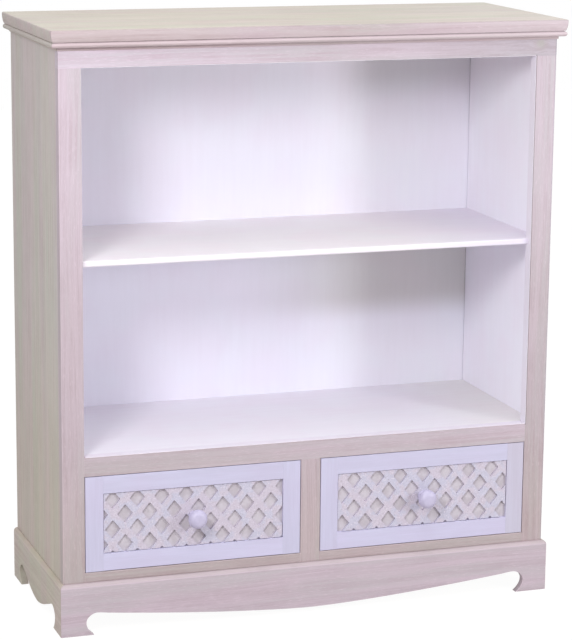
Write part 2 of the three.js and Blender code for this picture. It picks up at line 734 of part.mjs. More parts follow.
// Pan-head screw, from inside the drawer through the front into the knob
function knobScrew(label) {
  const shank = FRONT_BOARD_THICKNESS + LATTICE_THICKNESS + SCREW_IN_KNOB;
  const profile = new THREE.Path();
  profile.moveTo(0, -SCREW_HEAD_HEIGHT);
  profile.quadraticCurveTo(
    SCREW_HEAD_RADIUS, -SCREW_HEAD_HEIGHT, SCREW_HEAD_RADIUS, -SCREW_HEAD_HEIGHT / 3,
  );
  profile.lineTo(SCREW_HEAD_RADIUS, 0);
  profile.lineTo(SCREW_RADIUS, 0);
  profile.lineTo(SCREW_RADIUS, shank - SCREW_RADIUS);
  profile.lineTo(0, shank);
  const geometry = new THREE.LatheGeometry(profile.getPoints(CURVE_STEPS / 2), SCREW_SIDES);
  const mesh = piece(`drawer_${label}_knob_screw`, geometry, steel());
  mesh.rotation.x = Math.PI;
  mesh.position.y = FRAME_THICKNESS;
  return mesh;
}

function drawer(label, side) {
  const group = new THREE.Group();
  group.position.set(side * DRAWER_X, FRONT, DRAWER_Z);
  return group.add(
    drawerFrontFrame(label),
    drawerFrontBoard(label),
    lattice(label, LATTICE_SHIFT[label]),
    drawerBox(label),
    knob(label),
    knobScrew(label),
  );
}

const bookcase = new THREE.Group();
bookcase.add(
  topBoard(),
  topStrips(),
  faceFrame(),
  sidePanel("side_panel_left", -1),
  sidePanel("side_panel_right", 1),
  backPanel(),
  shelf(),
  housedBoard("deck_board", DECK_TOP, DECK_THICKNESS, whitePaint()),
  housedBoard("bottom_board", BOTTOM_TOP, BOTTOM_THICKNESS, bareWood()),
  drawerBay(),
  plinth(),
  drawer("left", -1),
  drawer("right", 1),
);

export default bookcase;
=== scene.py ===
# %% [markdown]
# # A limed bookcase with two lattice drawers
# The bookcase is a small carcass of limed wood outside and white paint inside, with a shelf,
# two shallow drawers and a scalloped plinth. The joiner's drawing, with the size and place of
# every piece, is already there as a imported model in metres, so nothing is fitted by eye here:
# this lesson takes each piece's corners from that frame, gives it the soft arrises and the
# turned, moulded and fretted shapes of the real one, and then paints it.
# First come the imports, the frame, and a way to read the box of each piece from it.

# %% Load the frame
import json
import math

import bmesh
import bpy
from mathutils import Matrix, Vector

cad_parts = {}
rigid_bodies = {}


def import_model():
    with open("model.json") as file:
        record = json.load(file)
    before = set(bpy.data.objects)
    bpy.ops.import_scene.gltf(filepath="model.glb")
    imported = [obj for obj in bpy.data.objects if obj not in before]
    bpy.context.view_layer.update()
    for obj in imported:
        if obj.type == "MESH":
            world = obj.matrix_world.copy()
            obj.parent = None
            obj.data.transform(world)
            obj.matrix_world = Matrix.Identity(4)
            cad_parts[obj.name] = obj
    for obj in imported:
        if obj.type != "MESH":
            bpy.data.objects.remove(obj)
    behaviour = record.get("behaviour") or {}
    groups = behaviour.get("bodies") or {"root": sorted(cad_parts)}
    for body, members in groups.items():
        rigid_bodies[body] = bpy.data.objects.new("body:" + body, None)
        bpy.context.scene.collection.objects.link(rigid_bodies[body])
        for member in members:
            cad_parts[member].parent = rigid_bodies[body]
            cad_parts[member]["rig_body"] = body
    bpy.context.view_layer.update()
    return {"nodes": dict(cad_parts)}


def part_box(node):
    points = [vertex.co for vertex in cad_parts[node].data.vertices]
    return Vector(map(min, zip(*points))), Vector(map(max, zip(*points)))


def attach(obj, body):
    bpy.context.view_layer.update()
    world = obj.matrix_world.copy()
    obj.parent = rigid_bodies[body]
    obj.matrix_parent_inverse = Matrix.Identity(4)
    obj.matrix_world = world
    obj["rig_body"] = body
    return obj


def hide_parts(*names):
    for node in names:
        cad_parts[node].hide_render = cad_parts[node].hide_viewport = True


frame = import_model()
MM = 0.001
SIDES = ("left", "right")
ACROSS, DEEP, UPRIGHT = "x", "y", "z"

# %% [markdown]
# ## Planes that several steps share
# A joiner works from a few reference edges. Here they are the opening behind the face frame,
# the inner faces of the sides, and the front and back of the carcass, all read from the frame.
# The bead under the slab is placed from the top of the frame by two sizes of its own.

# %% Reference planes
stile_low, stile_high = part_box("stile_left")
rail_low, rail_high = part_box("top_rail")
slab_low, slab_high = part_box("top_board")
panel_low, panel_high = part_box("back_panel")
shelf_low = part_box("shelf")[0]

FRONT = stile_low.y
FRAME_BACK = stile_high.y
BODY_SIDE = -stile_low.x
OPENING_SIDE = -stile_high.x
OPENING_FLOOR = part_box("deck_board")[1].z
OPENING_TOP = rail_low.z
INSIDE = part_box("guide_right_outer")[1].x
PLINTH_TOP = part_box("skirt_front")[1].z
BEAD_RADIUS = 3.75 * MM
BEAD_MIDDLE = 8.25 * MM
BEAD_FOOT = rail_high.z + BEAD_MIDDLE - BEAD_RADIUS
BEAD_HEAD = rail_high.z + BEAD_MIDDLE + BEAD_RADIUS
print(f"opening {2 * OPENING_SIDE:.3f} m wide, from {OPENING_FLOOR:.3f} to {OPENING_TOP:.3f} m up")

# %% [markdown]
# ## The camera
# The photograph was taken from the left and a little above, from far enough away that the
# upright edges stay almost parallel. A long lens a few metres off does that. The camera is
# placed by its turn round the object and its height above the horizon, like an orbit, and is
# rolled by half a degree, as a camera held by hand is.

# %% Camera
CAMERA_TURN = -18.873
CAMERA_RISE = 12.074
CAMERA_ROLL = 0.541
CAMERA_DISTANCE = 3.811
CAMERA_AIM = Vector((0.0056, 0.0, 0.4289))
CAMERA_LENS = 137.85
CAMERA_SENSOR = 36


def new_item(name, data):
    """An object in the scene. A bmesh is turned into its mesh."""
    if isinstance(data, bmesh.types.BMesh):
        shape, data = data, bpy.data.meshes.new(name)
        shape.to_mesh(data)
        shape.free()
    item = bpy.data.objects.new(name, data)
    bpy.context.scene.collection.objects.link(item)
    return item


def aimed(item, place, direction, roll=0.0):
    """Puts a camera or a lamp at a place, looking along a direction."""
    rolled = Matrix.Rotation(math.radians(roll), 4, "Z").to_quaternion()
    item.location = place
    item.rotation_mode = "QUATERNION"
    item.rotation_quaternion = direction.to_track_quat("-Z", "Y") @ rolled
    return item


def place_camera():
    turn, rise = math.radians(CAMERA_TURN), math.radians(CAMERA_RISE)
    back = Vector((
        math.sin(turn) * math.cos(rise), -math.cos(turn) * math.cos(rise), math.sin(rise),
    ))
    data = bpy.data.cameras.new("camera")
    data.lens = CAMERA_LENS
    data.sensor_width = CAMERA_SENSOR
    camera = new_item("camera", data)
    bpy.context.scene.camera = camera
    return aimed(camera, CAMERA_AIM + back * CAMERA_DISTANCE, -back, CAMERA_ROLL)


camera = place_camera()
print("camera at", tuple(round(value, 3) for value in camera.location))

# %% [markdown]
# ## Small tools for node trees
# A finish is a tree of nodes. Building it in code needs the same few moves again and again: add
# a node and fill its inputs, do a sum, mix two colours. A small class makes the sums readable:
# it holds a socket and its tree, and a plus or a times between two of them adds the math node.
# Colours are written as on a paint chart, from 0 to 255, and turned into the linear values
# that Blender works in.

# %% Node tools
MIX_SHARE, MIX_BELOW, MIX_ABOVE, MIX_COLOUR = 0, 6, 7, 2


class Value:
    """What a socket gives. A sum written with it adds a math node to its tree."""

    def __init__(self, tree, socket):
        self.tree = tree
        self.socket = socket

    def __add__(self, other):
        return calc("ADD", self, other)

    def __sub__(self, other):
        return calc("SUBTRACT", self, other)

    def __rsub__(self, other):
        return calc("SUBTRACT", other, self)

    def __mul__(self, other):
        return calc("MULTIPLY", self, other)

    def __truediv__(self, other):
        return calc("DIVIDE", self, other)


def feed(tree, socket, value):
    if isinstance(value, Value):
        tree.links.new(value.socket, socket)
    else:
        socket.default_value = value


def put(tree, kind, inputs=None, **options):
    """Adds a node, sets its options and fills its inputs."""
    node = tree.nodes.new(kind)
    for option, value in options.items():
        setattr(node, option, value)
    for name, value in (inputs or {}).items():
        feed(tree, node.inputs[name], value)
    return node


def result(tree, kind, inputs=None, output=0, **options):
    """Adds a node and gives what one of its outputs holds."""
    return Value(tree, put(tree, kind, inputs, **options).outputs[output])


def tree_of(*values):
    return next(value.tree for value in values if isinstance(value, Value))


def calc(operation, *values, clamp=False):
    return result(
        tree_of(*values), "ShaderNodeMath", dict(enumerate(values)),
        operation=operation, use_clamp=clamp,
    )


def vector_calc(operation, first, second, output="Vector"):
    return result(
        first.tree, "ShaderNodeVectorMath", {0: first, 1: second}, output, operation=operation,
    )


def split(place):
    """The x, y and z of a place."""
    node = put(place.tree, "ShaderNodeSeparateXYZ", {"Vector": place})
    return [Value(place.tree, socket) for socket in node.outputs]


def tone(colour):
    """The linear colour of a chart's colour, by the curve of the sRGB standard."""
    shares = [level / 255 for level in colour]
    return (*(s / 12.92 if s <= 0.04045 else ((s + 0.055) / 1.055) ** 2.4 for s in shares), 1.0)


def mixed(share, below, above, blend_type="MIX"):
    inputs = {MIX_SHARE: share, MIX_BELOW: below, MIX_ABOVE: above}
    return result(
        tree_of(share, below, above), "ShaderNodeMix", inputs, MIX_COLOUR,
        data_type="RGBA", blend_type=blend_type,
    )


def ramp(value, low, high, start=0.0, end=1.0):
    """A smooth step of value from start, at low, to end, at high."""
    inputs = {"Value": value, "From Min": low, "From Max": high, "To Min": start, "To Max": end}
    return result(value.tree, "ShaderNodeMapRange", inputs, interpolation_type="SMOOTHSTEP")


def above(value, limit, soft=0.1 * MM):
    return ramp(value, limit - soft, limit + soft)


def below(value, limit, soft=0.1 * MM):
    return ramp(value, limit + soft, limit - soft)


# %% [markdown]
# ## Grain
# Wood, and paint brushed along it, show the same thing: marks that are long one way and narrow
# the other. Noise on coordinates that are squeezed along the grain gives them at any size, so
# one helper makes the wide figure, the fine streaks and the pores. The coordinates are the
# object's own, in metres, so a mark has the same size on every board. The seed only moves the
# noise to another place, which keeps every finish from repeating the one before.

# %% Grain helpers
SEED_STEP = (7.3, 3.1, 5.7)
DRIFT = (0.34, 0.11, 1.0)


def grain_noise(place, grain, seed, length, width, detail=2.0, roughness=0.5):
    """Noise whose marks are about length long, along the grain, and width wide, in metres."""
    scale = [1 / (length if axis == grain else width) for axis in "xyz"]
    inputs = {"Vector": place, "Scale": scale, "Location": [seed * step for step in SEED_STEP]}
    stretched = result(place.tree, "ShaderNodeMapping", inputs)
    inputs = {"Vector": stretched, "Scale": 1.0, "Detail": detail, "Roughness": roughness}
    return result(place.tree, "ShaderNodeTexNoise", inputs)


def cloud_noise(place, seed, size, detail=2.0, roughness=0.5):
    """Noise whose marks are as long as they are wide."""
    return grain_noise(place, "", seed, size, size, detail, roughness)


def wandering(place, grain, seed, amount):
    """Coordinates that drift to and fro across the grain, as growth lines do."""
    drifts = [grain_noise(place, grain, seed + i, *DRIFT) for i in range(2)]
    moves = iter([(drift - 0.5) * amount for drift in drifts])
    shift = {axis.upper(): 0.0 if axis == grain else next(moves) for axis in "xyz"}
    return vector_calc("ADD", place, result(place.tree, "ShaderNodeCombineXYZ", shift))


def attribute(place, name):
    return result(place.tree, "ShaderNodeAttribute", output="Fac", attribute_name=name)


def new_finish(name):
    """A material, and the object's own coordinates in its tree."""
    material = bpy.data.materials.new(name)
    material.use_nodes = True
    return material, result(material.node_tree, "ShaderNodeTexCoord", output="Object")


def coat(material, colour, roughness, relief=None, metallic=0.0):
    """Feeds the shader. relief is a height of 0 to 1, the depth that it means, and a strength."""
    tree = material.node_tree
    shader = tree.nodes["Principled BSDF"]
    channels = {"Base Color": colour, "Roughness": roughness, "Metallic": metallic}
    if relief:
        inputs = dict(zip(("Height", "Distance", "Strength"), relief))
        channels["Normal"] = result(tree, "ShaderNodeBump", inputs)
    for channel, value in channels.items():
        feed(tree, shader.inputs[channel], value)
    return material


# %% [markdown]
# ## Where the white paint ends
# The inside of the bookcase is painted white, and the painter's brush laps round the front
# arris of the opening by half a millimetre or so. On the right a thin grey line shows where the
# paint stops; on the left there is no lap. The edge is worked out from the opening's own
# outline: how far a point lies outside that rectangle. The same mask then serves every member
# of the face frame.

# %% Paint masks
LAP = 0.5 * MM
LAP_SOFT = 0.25 * MM
LAP_WAVER = 0.5 * MM
LAP_WAVE = 20 * MM
LAP_LINE = 1.2 * MM
LAP_LINE_SOFT = 0.4 * MM
LAP_LINE_LEFT, LAP_LINE_RIGHT = 0.1, 0.75
LAP_SPARED = 2.4 * MM
# One white paint: the inner sides' white is painted lighter than the back's, as painted light, and
# the white lapped on the frame darker, as painted shade.
SIDE_WHITE_LIT = (245, 244, 253)
EDGE_WHITE_SHADED = (232, 228, 238)


def frame_paint(place):
    """Shares, from 0 to 1, of the white paint and of the grey line at its edge, and its tone."""
    x, y, z = split(place)
    aside = calc("MAXIMUM", x - OPENING_SIDE, (LAP_SPARED - OPENING_SIDE) - x)
    upwards = calc("MAXIMUM", z - OPENING_TOP, OPENING_FLOOR - z)
    waver = (cloud_noise(place, 4.0, LAP_WAVE, 3.0) - 0.5) * LAP_WAVER
    edge = calc("MAXIMUM", aside, upwards) + waver
    lapped = below(edge, LAP, LAP_SOFT)
    rear = above(y, FRAME_BACK - 0.3 * MM) * above(z, OPENING_FLOOR)
    line = calc("SUBTRACT", below(edge, LAP + LAP_LINE, LAP_LINE_SOFT), lapped, clamp=True)
    right = above(x, OPENING_SIDE - 0.5 * MM)
    kept = ramp(right, 0.0, 1.0, LAP_LINE_LEFT, LAP_LINE_RIGHT)
    return calc("MAXIMUM", lapped, rear), line * kept, EDGE_WHITE_SHADED


def side_paint(place):
    """The inner face of a side panel is white from the deck upwards."""
    x, _, z = split(place)
    inner = below(calc("ABSOLUTE", x), INSIDE + 0.4 * MM)
    return inner * above(z, OPENING_FLOOR - 0.2 * MM), 0.0, SIDE_WHITE_LIT


# %% [markdown]
# ## Where the tone changes
# The tone changes from place to place, and much of it is painted light and shade. The liming
# is painted darker and yellower towards the floor: painted shade where the light falls off
# downwards, and painted warm light bounced up from the floor. Painted shade darkens the fillet
# below the bead, the quirk above it on the front, the line over the plinth and the right front
# corner. The top rail is painted lighter at its left end, as painted light against the shadow of
# the bead, and darker towards the right. The bead and the slab are painted lighter towards the
# right, and the bead and the front of the slab darker towards the left, as painted light and
# shade. The edge of the slab is rosier than its face, and on the front also painted darker, as
# painted shade, and the slab's top front arris is a little darker. On the sides, painted light
# lifts the quirk and the fillet of the bead. The white paint carries painted shade high up on
# the right of both compartments and at the right ends of shelf and deck, and painted light on
# the right of the back board and on the drawers' bottom rails; the shelf is a little darker
# along its front edge.
# Each of these is a tint, a shade for red, green and blue that acts inside a mask. A mask is a
# smooth step along an axis, or long patches, or several such steps together.

# %% Masks and tints
def along(axis, start, full, least=0.0):
    """A mask that grows along an axis from least, at start, to 1, at full."""
    return lambda place: ramp(split(place)["xyz".index(axis)], start, full, least)


def past(axis, limit, soft=0.1 * MM):
    return along(axis, limit - soft, limit + soft)


def before(axis, limit, soft=0.1 * MM):
    return along(axis, limit + soft, limit - soft)


def grained(grain, seed, length, width, low, high):
    """A mask of long patches."""
    return lambda place: ramp(grain_noise(place, grain, seed, length, width, 1.0), low, high)


def both(first, second):
    return lambda place: first(place) * second(place)


def tint(mask, *shade):
    """A function that scales a colour by a shade inside a mask."""
    return lambda place, colour: mixed(
        mask(place), colour, vector_calc("MULTIPLY", colour, shade),
    )


def tinted(place, colour, tints):
    for change in tints:
        colour = change(place, colour)
    return colour


# %% Tints of the liming
front_corner = both(
    past(ACROSS, BODY_SIDE - 1.4 * MM, 0.3 * MM), before(DEEP, FRONT + 1.2 * MM, 0.4 * MM),
)
# Painted shade on the face frame: darker and yellower towards the floor, with painted warm bounce
# light near it, a darker right front corner, and a dark line over the plinth.
frame_tints = (
    tint(along(UPRIGHT, 0.72, 0.44), 0.905, 0.895, 0.875),
    tint(along(UPRIGHT, 0.34, 0.10), 0.98, 0.97, 0.91),
    tint(front_corner, 0.74, 0.75, 0.79),
    tint(before(UPRIGHT, PLINTH_TOP + 1.2 * MM, 0.5 * MM), 0.91, 0.86, 0.86),
)
# Painted light at the left end of the top rail, against the shadow under the bead; darker towards
# the right.
top_rail_tints = (
    tint(along(ACROSS, 0.10, -0.36), 1.10, 1.09, 1.13),
    tint(along(ACROSS, 0.05, 0.38), 0.87, 0.92, 0.91),
    *frame_tints,
)
low_rail_tints = (
    *frame_tints,
    tint(both(past(UPRIGHT, 0.2), along(ACROSS, -0.30, 0.20, 0.35)), 1.08, 1.07, 1.12),
)
# The second tint is painted shade and painted warm bounce light: the sides darker and yellower
# towards the floor.
side_tints = (
    tint(grained(UPRIGHT, 81, 0.9, 0.045, 0.42, 0.56), 1.02, 0.965, 1.03),
    tint(along(UPRIGHT, 0.55, 0.12), 0.94, 0.91, 0.835),
)

slab_edge = before(UPRIGHT, slab_high.z - 0.3 * MM, 0.2 * MM)
slab_front = before(DEEP, slab_low.y + 6 * MM)
slab_arris = both(past(UPRIGHT, slab_high.z - 1.7 * MM), before(DEEP, slab_low.y + 1.7 * MM))
# On the slab: the front edge is rosier and also painted darker, as painted shade; painted shade on
# the left of the front, painted light towards the right end. The top front arris is a little darker.
slab_tints = (
    tint(both(slab_edge, slab_front), 0.88, 0.81, 0.97),
    tint(both(slab_edge, past(DEEP, slab_low.y + 6 * MM)), 0.97, 0.93, 1.02),
    tint(slab_arris, 0.87, 0.87, 0.86),
    tint(both(slab_front, along(ACROSS, 0.0, -0.38)), 0.95, 0.94, 0.93),
    tint(along(ACROSS, 0.08, 0.40), 1.12, 1.12, 1.16),
    tint(grained(ACROSS, 82, 0.25, 0.06, 0.45, 0.62), 1.0, 0.965, 1.01),
)

fillet = before(UPRIGHT, BEAD_FOOT, 0.3 * MM)
quirk = past(UPRIGHT, BEAD_HEAD, 0.3 * MM)
# Painted shade in the fillet below the bead, in the quirk above it on the front, and on the bead's
# left; painted light towards its right.
bead_tints = (
    tint(fillet, 0.90, 0.86, 0.87),
    tint(along(ACROSS, 0.0, -0.38), 0.93, 0.91, 0.90),
    tint(along(ACROSS, 0.15, 0.40), 1.06, 1.07, 1.07),
    tint(both(quirk, along(ACROSS, -0.40, 0.05, 0.2)), 0.82, 0.81, 0.81),
)
# On the sides the quirk and the fillet are painted lighter: painted light that lifts their shade.
side_bead_tints = (*bead_tints, tint(quirk, 1.45, 1.45, 1.45), tint(fillet, 1.25, 1.25, 1.25))
skirt_tints = (tint(past(UPRIGHT, PLINTH_TOP - 4 * MM, 1.5 * MM), 0.81, 0.81, 0.76),)

# %% Tints of the white paint
DRAWER_RAIL_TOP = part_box("drawer_left_rail_bottom")[1].z

under_shelf = both(
    along(UPRIGHT, shelf_low.z - 0.175, shelf_low.z - 0.125),
    along(UPRIGHT, shelf_low.z + 0.01, shelf_low.z),
)
under_top = along(UPRIGHT, OPENING_TOP - 0.11, OPENING_TOP - 0.05)
# Painted light on the right of the back board, and painted shade high up on the right of both
# compartments, under the shelf and under the top.
back_tints = (
    tint(along(ACROSS, 0.06, 0.20), 1.08, 1.09, 1.05),
    tint(both(under_shelf, along(ACROSS, -0.05, 0.22)), 0.77, 0.76, 0.70),
    tint(both(under_top, along(ACROSS, 0.12, 0.22)), 0.86, 0.86, 0.84),
)
# The shelf is a little darker along its front edge; towards its right end it is painted darker, as
# painted shade.
shelf_tints = (
    tint(before(DEEP, shelf_low.y + 0.8 * MM, 0.6 * MM), 0.91, 0.89, 0.94),
    tint(along(ACROSS, 0.12, 0.36), 0.87, 0.85, 0.92),
)
# Painted shade towards the right end of the deck.
deck_tints = (tint(along(ACROSS, 0.20, 0.36), 0.97, 0.97, 0.90),)
# Painted light on the drawers' bottom rails.
drawer_rail_tints = (tint(before(UPRIGHT, DRAWER_RAIL_TOP + 2 * MM), 1.05, 1.05, 1.06),)
drawer_stile_tints = (tint(along(ACROSS, 0.27, 0.34), 0.98, 0.97, 0.91),)
print("tints of the frame", len(frame_tints), "slab", len(slab_tints), "back", len(back_tints))

# %% [markdown]
# ## White paint
# The paint is a satin white with a breath of lavender. Brushed paint is never one flat tone:
# each stroke leaves fine ridges that run with the brush, and thicker and thinner bands that
# differ by a few levels. The strokes are grain noise again, at three widths, and they drive
# the colour a little and the relief more.

# %% Brushed paint
BRUSH_BANDS = (0.11, 0.009, 2.0)
BRUSH_RIDGES = (0.05, 0.0011, 3.0, 0.6)
BRUSH_CLOUDS = 0.09
THIN_PAINT, THICK_PAINT = (0.8, 1.0, 0.9), (0.5, 0.5, 0.6)
WARM_PAINT = (255, 250, 252)
INSIDE_WHITE = (238, 237, 250)
# One white paint: the shelf's white is painted lighter than the back's, as painted light, and the
# deck's darker, as painted shade.
SHELF_WHITE_LIT = (253, 251, 255)
DECK_WHITE_SHADED = (237, 235, 243)
DRAWER_WHITE = (201, 199, 224)


def brushed(place, grain, colour, seed, depth=0.05):
    """Colour and relief of paint brushed along the grain."""
    bands = grain_noise(place, grain, seed, *BRUSH_BANDS)
    ridges = grain_noise(place, grain, seed + 3, *BRUSH_RIDGES)
    clouds = cloud_noise(place, seed + 6, BRUSH_CLOUDS)
    thin = [level * (1 - depth * fade) for level, fade in zip(colour, THIN_PAINT)]
    thick = [min(255, level * (1 + depth * rise)) for level, rise in zip(colour, THICK_PAINT)]
    strokes = mixed(ramp(bands * 0.6 + ridges * 0.4, 0.34, 0.66), tone(thin), tone(thick))
    warmed = mixed(1.0, strokes, tone(WARM_PAINT), "MULTIPLY")
    paint = mixed(ramp(clouds, 0.35, 0.65, 0.0, 0.6), strokes, warmed)
    return paint, ridges * 0.7 + bands * 0.3


def white_paint(name, grain, colour, seed, depth, tooth, tints):
    material, place = new_finish(name)
    paint, height = brushed(place, grain, colour, seed, depth)
    sheen = ramp(height, 0.3, 0.7, 0.56, 0.45)
    return coat(material, tinted(place, paint, tints), sheen, (height, 0.12 * MM, tooth))


painted = {
    name: white_paint(f"{name}_paint", grain, colour, seed, depth, tooth, tints)
    for seed, (name, grain, colour, depth, tooth, tints) in enumerate((
        ("drawer_across", ACROSS, DRAWER_WHITE, 0.022, 0.35, drawer_rail_tints),
        ("drawer_upright", UPRIGHT, DRAWER_WHITE, 0.022, 0.35, drawer_stile_tints),
        ("shelf_across", ACROSS, SHELF_WHITE_LIT, 0.006, 0.12, shelf_tints),
        ("deck_across", ACROSS, DECK_WHITE_SHADED, 0.006, 0.12, deck_tints),
    ), 11)
}
print(len(painted), "painted finishes")

# %% [markdown]
# ## Limed wood
# Liming rubs a white paste into open-grained wood and wipes the rest away. The tone stays soft:
# pinkish and greenish greys lie side by side in long patches, fine streaks a millimetre or two
# wide run with the grain, and the pores keep short dashes of white. Arrises are paler than faces:
# partly the paste that they catch, partly a painted highlight on the rounded arris. Every board
# that is limed gets this one recipe, with the direction of its own grain and a tone of its own,
# because no two boards are alike.

# %% Limed wood
PATCHES = (0.30, 0.030, 2.0)
FIGURE = (0.42, 0.0052, 2.0, 0.55)
STREAKS = (0.16, 0.0017, 3.0, 0.62)
PORES = (0.012, 0.00055, 1.0)
WIPED = 0.05
GREENISH = (0.955, 0.99, 0.965)
PORE_PASTE = 16
LAP_GREY = (96, 84, 92)
KNOT = (0.3608, FRONT, 0.8629)
KNOT_REACH = 10 * MM
KNOT_TURNS = 0.18
KNOT_RING = (186, 166, 168)
KNOT_HEART = (184, 178, 170)


def knotted(place):
    """Coordinates that swirl about the knot and settle down again around it."""
    away = vector_calc("DISTANCE", place, KNOT, "Value") / KNOT_REACH
    near = calc("EXPONENT", calc("POWER", away, 2.0) * -1.0)
    turn = {"Vector": place, "Center": KNOT, "Angle": near * (2 * math.pi * KNOT_TURNS)}
    return result(place.tree, "ShaderNodeVectorRotate", turn, rotation_type="Y_AXIS"), near


def limed_colour(place, route, heart, grain, pale, deep, seed, arris_paste_and_highlight):
    """The colour, the relief, and the streaks that the gloss follows."""
    patches = grain_noise(route, grain, seed + 1, *PATCHES)
    figure = grain_noise(route, grain, seed + 2, *FIGURE)
    streaks = grain_noise(route, grain, seed + 3, *STREAKS)
    pores = grain_noise(route, grain, seed + 4, *PORES)
    wiped = cloud_noise(place, seed + 5, WIPED)

    greenish = [level * share for level, share in zip(pale, GREENISH)]
    ground = mixed(ramp(patches, 0.36, 0.64), tone(greenish), tone(pale))
    lines = figure * 0.5 + streaks * 0.5
    darker = ramp(lines, 0.60, 0.36) * ramp(wiped, 0.3, 0.7, 1.0, 0.45)
    wood = mixed(darker, ground, tone(deep))
    if heart:
        ring = ramp(heart, 0.10, 0.35) * ramp(heart, 0.75, 0.45)
        wood = mixed(ring * 0.25, wood, tone(KNOT_RING))
        wood = mixed(ramp(heart, 0.35, 0.95, 0.0, 0.6), wood, tone(KNOT_HEART))
    filled = ramp(pores, 0.60, 0.68, 0.0, 0.55)
    limed_pores = mixed(filled, wood, tone(min(255, level + PORE_PASTE) for level in pale))
    # Arrises are paler: partly paste, partly a painted highlight.
    paste_and_highlight = attribute(place, "arris") * ramp(wiped, 0.25, 0.6, 0.45, 0.95)
    colour = mixed(paste_and_highlight, limed_pores, tone(min(255, level + arris_paste_and_highlight) for level in pale))
    return colour, lines - filled * 0.35, lines


def limed_wood(name, grain, pale, deep, seed, tints, zone=None, knot=False, arris_paste_and_highlight=12):
    material, place = new_finish(name)
    route, heart = wandering(place, grain, seed, 0.016), None
    if knot:
        route, heart = knotted(route)
    colour, height, lines = limed_colour(place, route, heart, grain, pale, deep, seed, arris_paste_and_highlight)
    colour = tinted(place, colour, tints)
    if zone:
        white, line, white_tone = zone(place)
        paint, ridges = brushed(place, grain, white_tone, seed + 20, 0.006)
        colour = mixed(white, mixed(line, colour, tone(LAP_GREY)), paint)
        height = (1.0 - white) * height + (ridges + 0.6) * white
    return coat(material, colour, ramp(lines, 0.35, 0.65, 0.66, 0.56), (height, 0.25 * MM, 0.4))


# %% Limed finishes
FRONT_TONE = {"pale": (200, 185, 197), "deep": (184, 167, 177)}
PLINTH_TONE = {"pale": (200, 184, 196), "deep": (185, 168, 179)}
BEAD_TONE = {"pale": (196, 180, 186), "deep": (184, 167, 172)}
TOP_TONE = {"pale": (206, 198, 187), "deep": (192, 180, 170)}
SIDE_TONE = {"pale": (206, 199, 195), "deep": (190, 181, 176)}
FRAMED = {"zone": frame_paint}

limed = {
    name: limed_wood(f"limed_{name}", grain, seed=seed, tints=tints, **colours, **extra)
    for seed, (name, grain, colours, tints, extra) in enumerate((
        ("front_upright", UPRIGHT, FRONT_TONE, frame_tints, FRAMED),
        ("front_across", ACROSS, FRONT_TONE, low_rail_tints, FRAMED),
        ("top_rail", ACROSS, FRONT_TONE, top_rail_tints, {**FRAMED, "knot": True}),
        ("top", ACROSS, TOP_TONE, slab_tints, {}),
        ("bead_across", ACROSS, BEAD_TONE, bead_tints, {"arris_paste_and_highlight": 4}),
        ("bead_deep", DEEP, SIDE_TONE, side_bead_tints, {"arris_paste_and_highlight": -6}),
        ("side", UPRIGHT, SIDE_TONE, side_tints, {"zone": side_paint}),
        ("skirt_across", ACROSS, PLINTH_TONE, skirt_tints, {}),
        ("skirt_deep", DEEP, SIDE_TONE, side_tints + skirt_tints, {}),
    ), 1)
}
print(len(limed), "limed finishes")

# %% [markdown]
# ## Bare wood, board and steel
# Behind the show faces nothing is painted. The drawer boxes, guides and blocks are plain
# softwood with clear growth lines, the drawer bottoms are thin plywood, the back board is
# brown hardboard on its rear face, and the screws and brads are steel. Growth lines are one
# wide noise, folded to and fro a few times, which reads as sawn pine at once.

# %% Bare materials
PINE = {"pale": (214, 190, 152), "deep": (188, 156, 112)}
PLYWOOD = {"pale": (208, 180, 138), "deep": (190, 158, 112)}
HARDBOARD = ((118, 88, 62), (158, 126, 94), (134, 104, 78))
STEEL = ((186, 188, 190), (150, 148, 146))
FOLDS = 6.0


def bare_wood(name, grain, pale, deep, seed, spacing=9 * MM):
    material, coordinates = new_finish(name)
    place = wandering(coordinates, grain, seed, 0.03)
    bands = grain_noise(place, grain, seed + 1, 0.6, spacing, 1.0, 0.4)
    fibres = grain_noise(place, grain, seed + 2, 0.08, 0.0009, 3.0, 0.6)
    growth = ramp(calc("PINGPONG", bands * FOLDS, 1.0), 0.15, 0.95)
    wood = mixed(growth, tone(pale), tone(deep))
    fine = mixed(ramp(fibres, 0.35, 0.65, 0.0, 0.3), wood, tone(deep))
    return coat(material, fine, 0.72, (fibres, 0.2 * MM, 0.4))


def hardboard(name):
    """Brown and fibrous at the back, painted white towards the room."""
    material, place = new_finish(name)
    fibres = cloud_noise(place, 31, 0.0016, 4.0, 0.7)
    clouds = cloud_noise(place, 32, 0.12)
    dark, light, cloudy = (tone(colour) for colour in HARDBOARD)
    board = mixed(ramp(fibres, 0.3, 0.7), dark, light)
    board = mixed(ramp(clouds, 0.3, 0.7, 0.0, 0.3), board, cloudy)
    paint, ridges = brushed(place, UPRIGHT, INSIDE_WHITE, 33, 0.006)
    rear = above(split(place)[1], panel_low.y + 2.0 * MM)
    colour = mixed(rear, tinted(place, paint, back_tints), board)
    relief = (fibres * rear + ridges * 0.3, 0.12 * MM, 0.35)
    return coat(material, colour, ramp(rear, 0.0, 1.0, 0.5, 0.8), relief)


def steel_finish(name):
    material, place = new_finish(name)
    spots = cloud_noise(place, 41, 0.0012, 3.0)
    bright, dull = (tone(colour) for colour in STEEL)
    colour = mixed(ramp(spots, 0.4, 0.7), bright, dull)
    return coat(material, colour, ramp(spots, 0.3, 0.7, 0.28, 0.5), metallic=1.0)


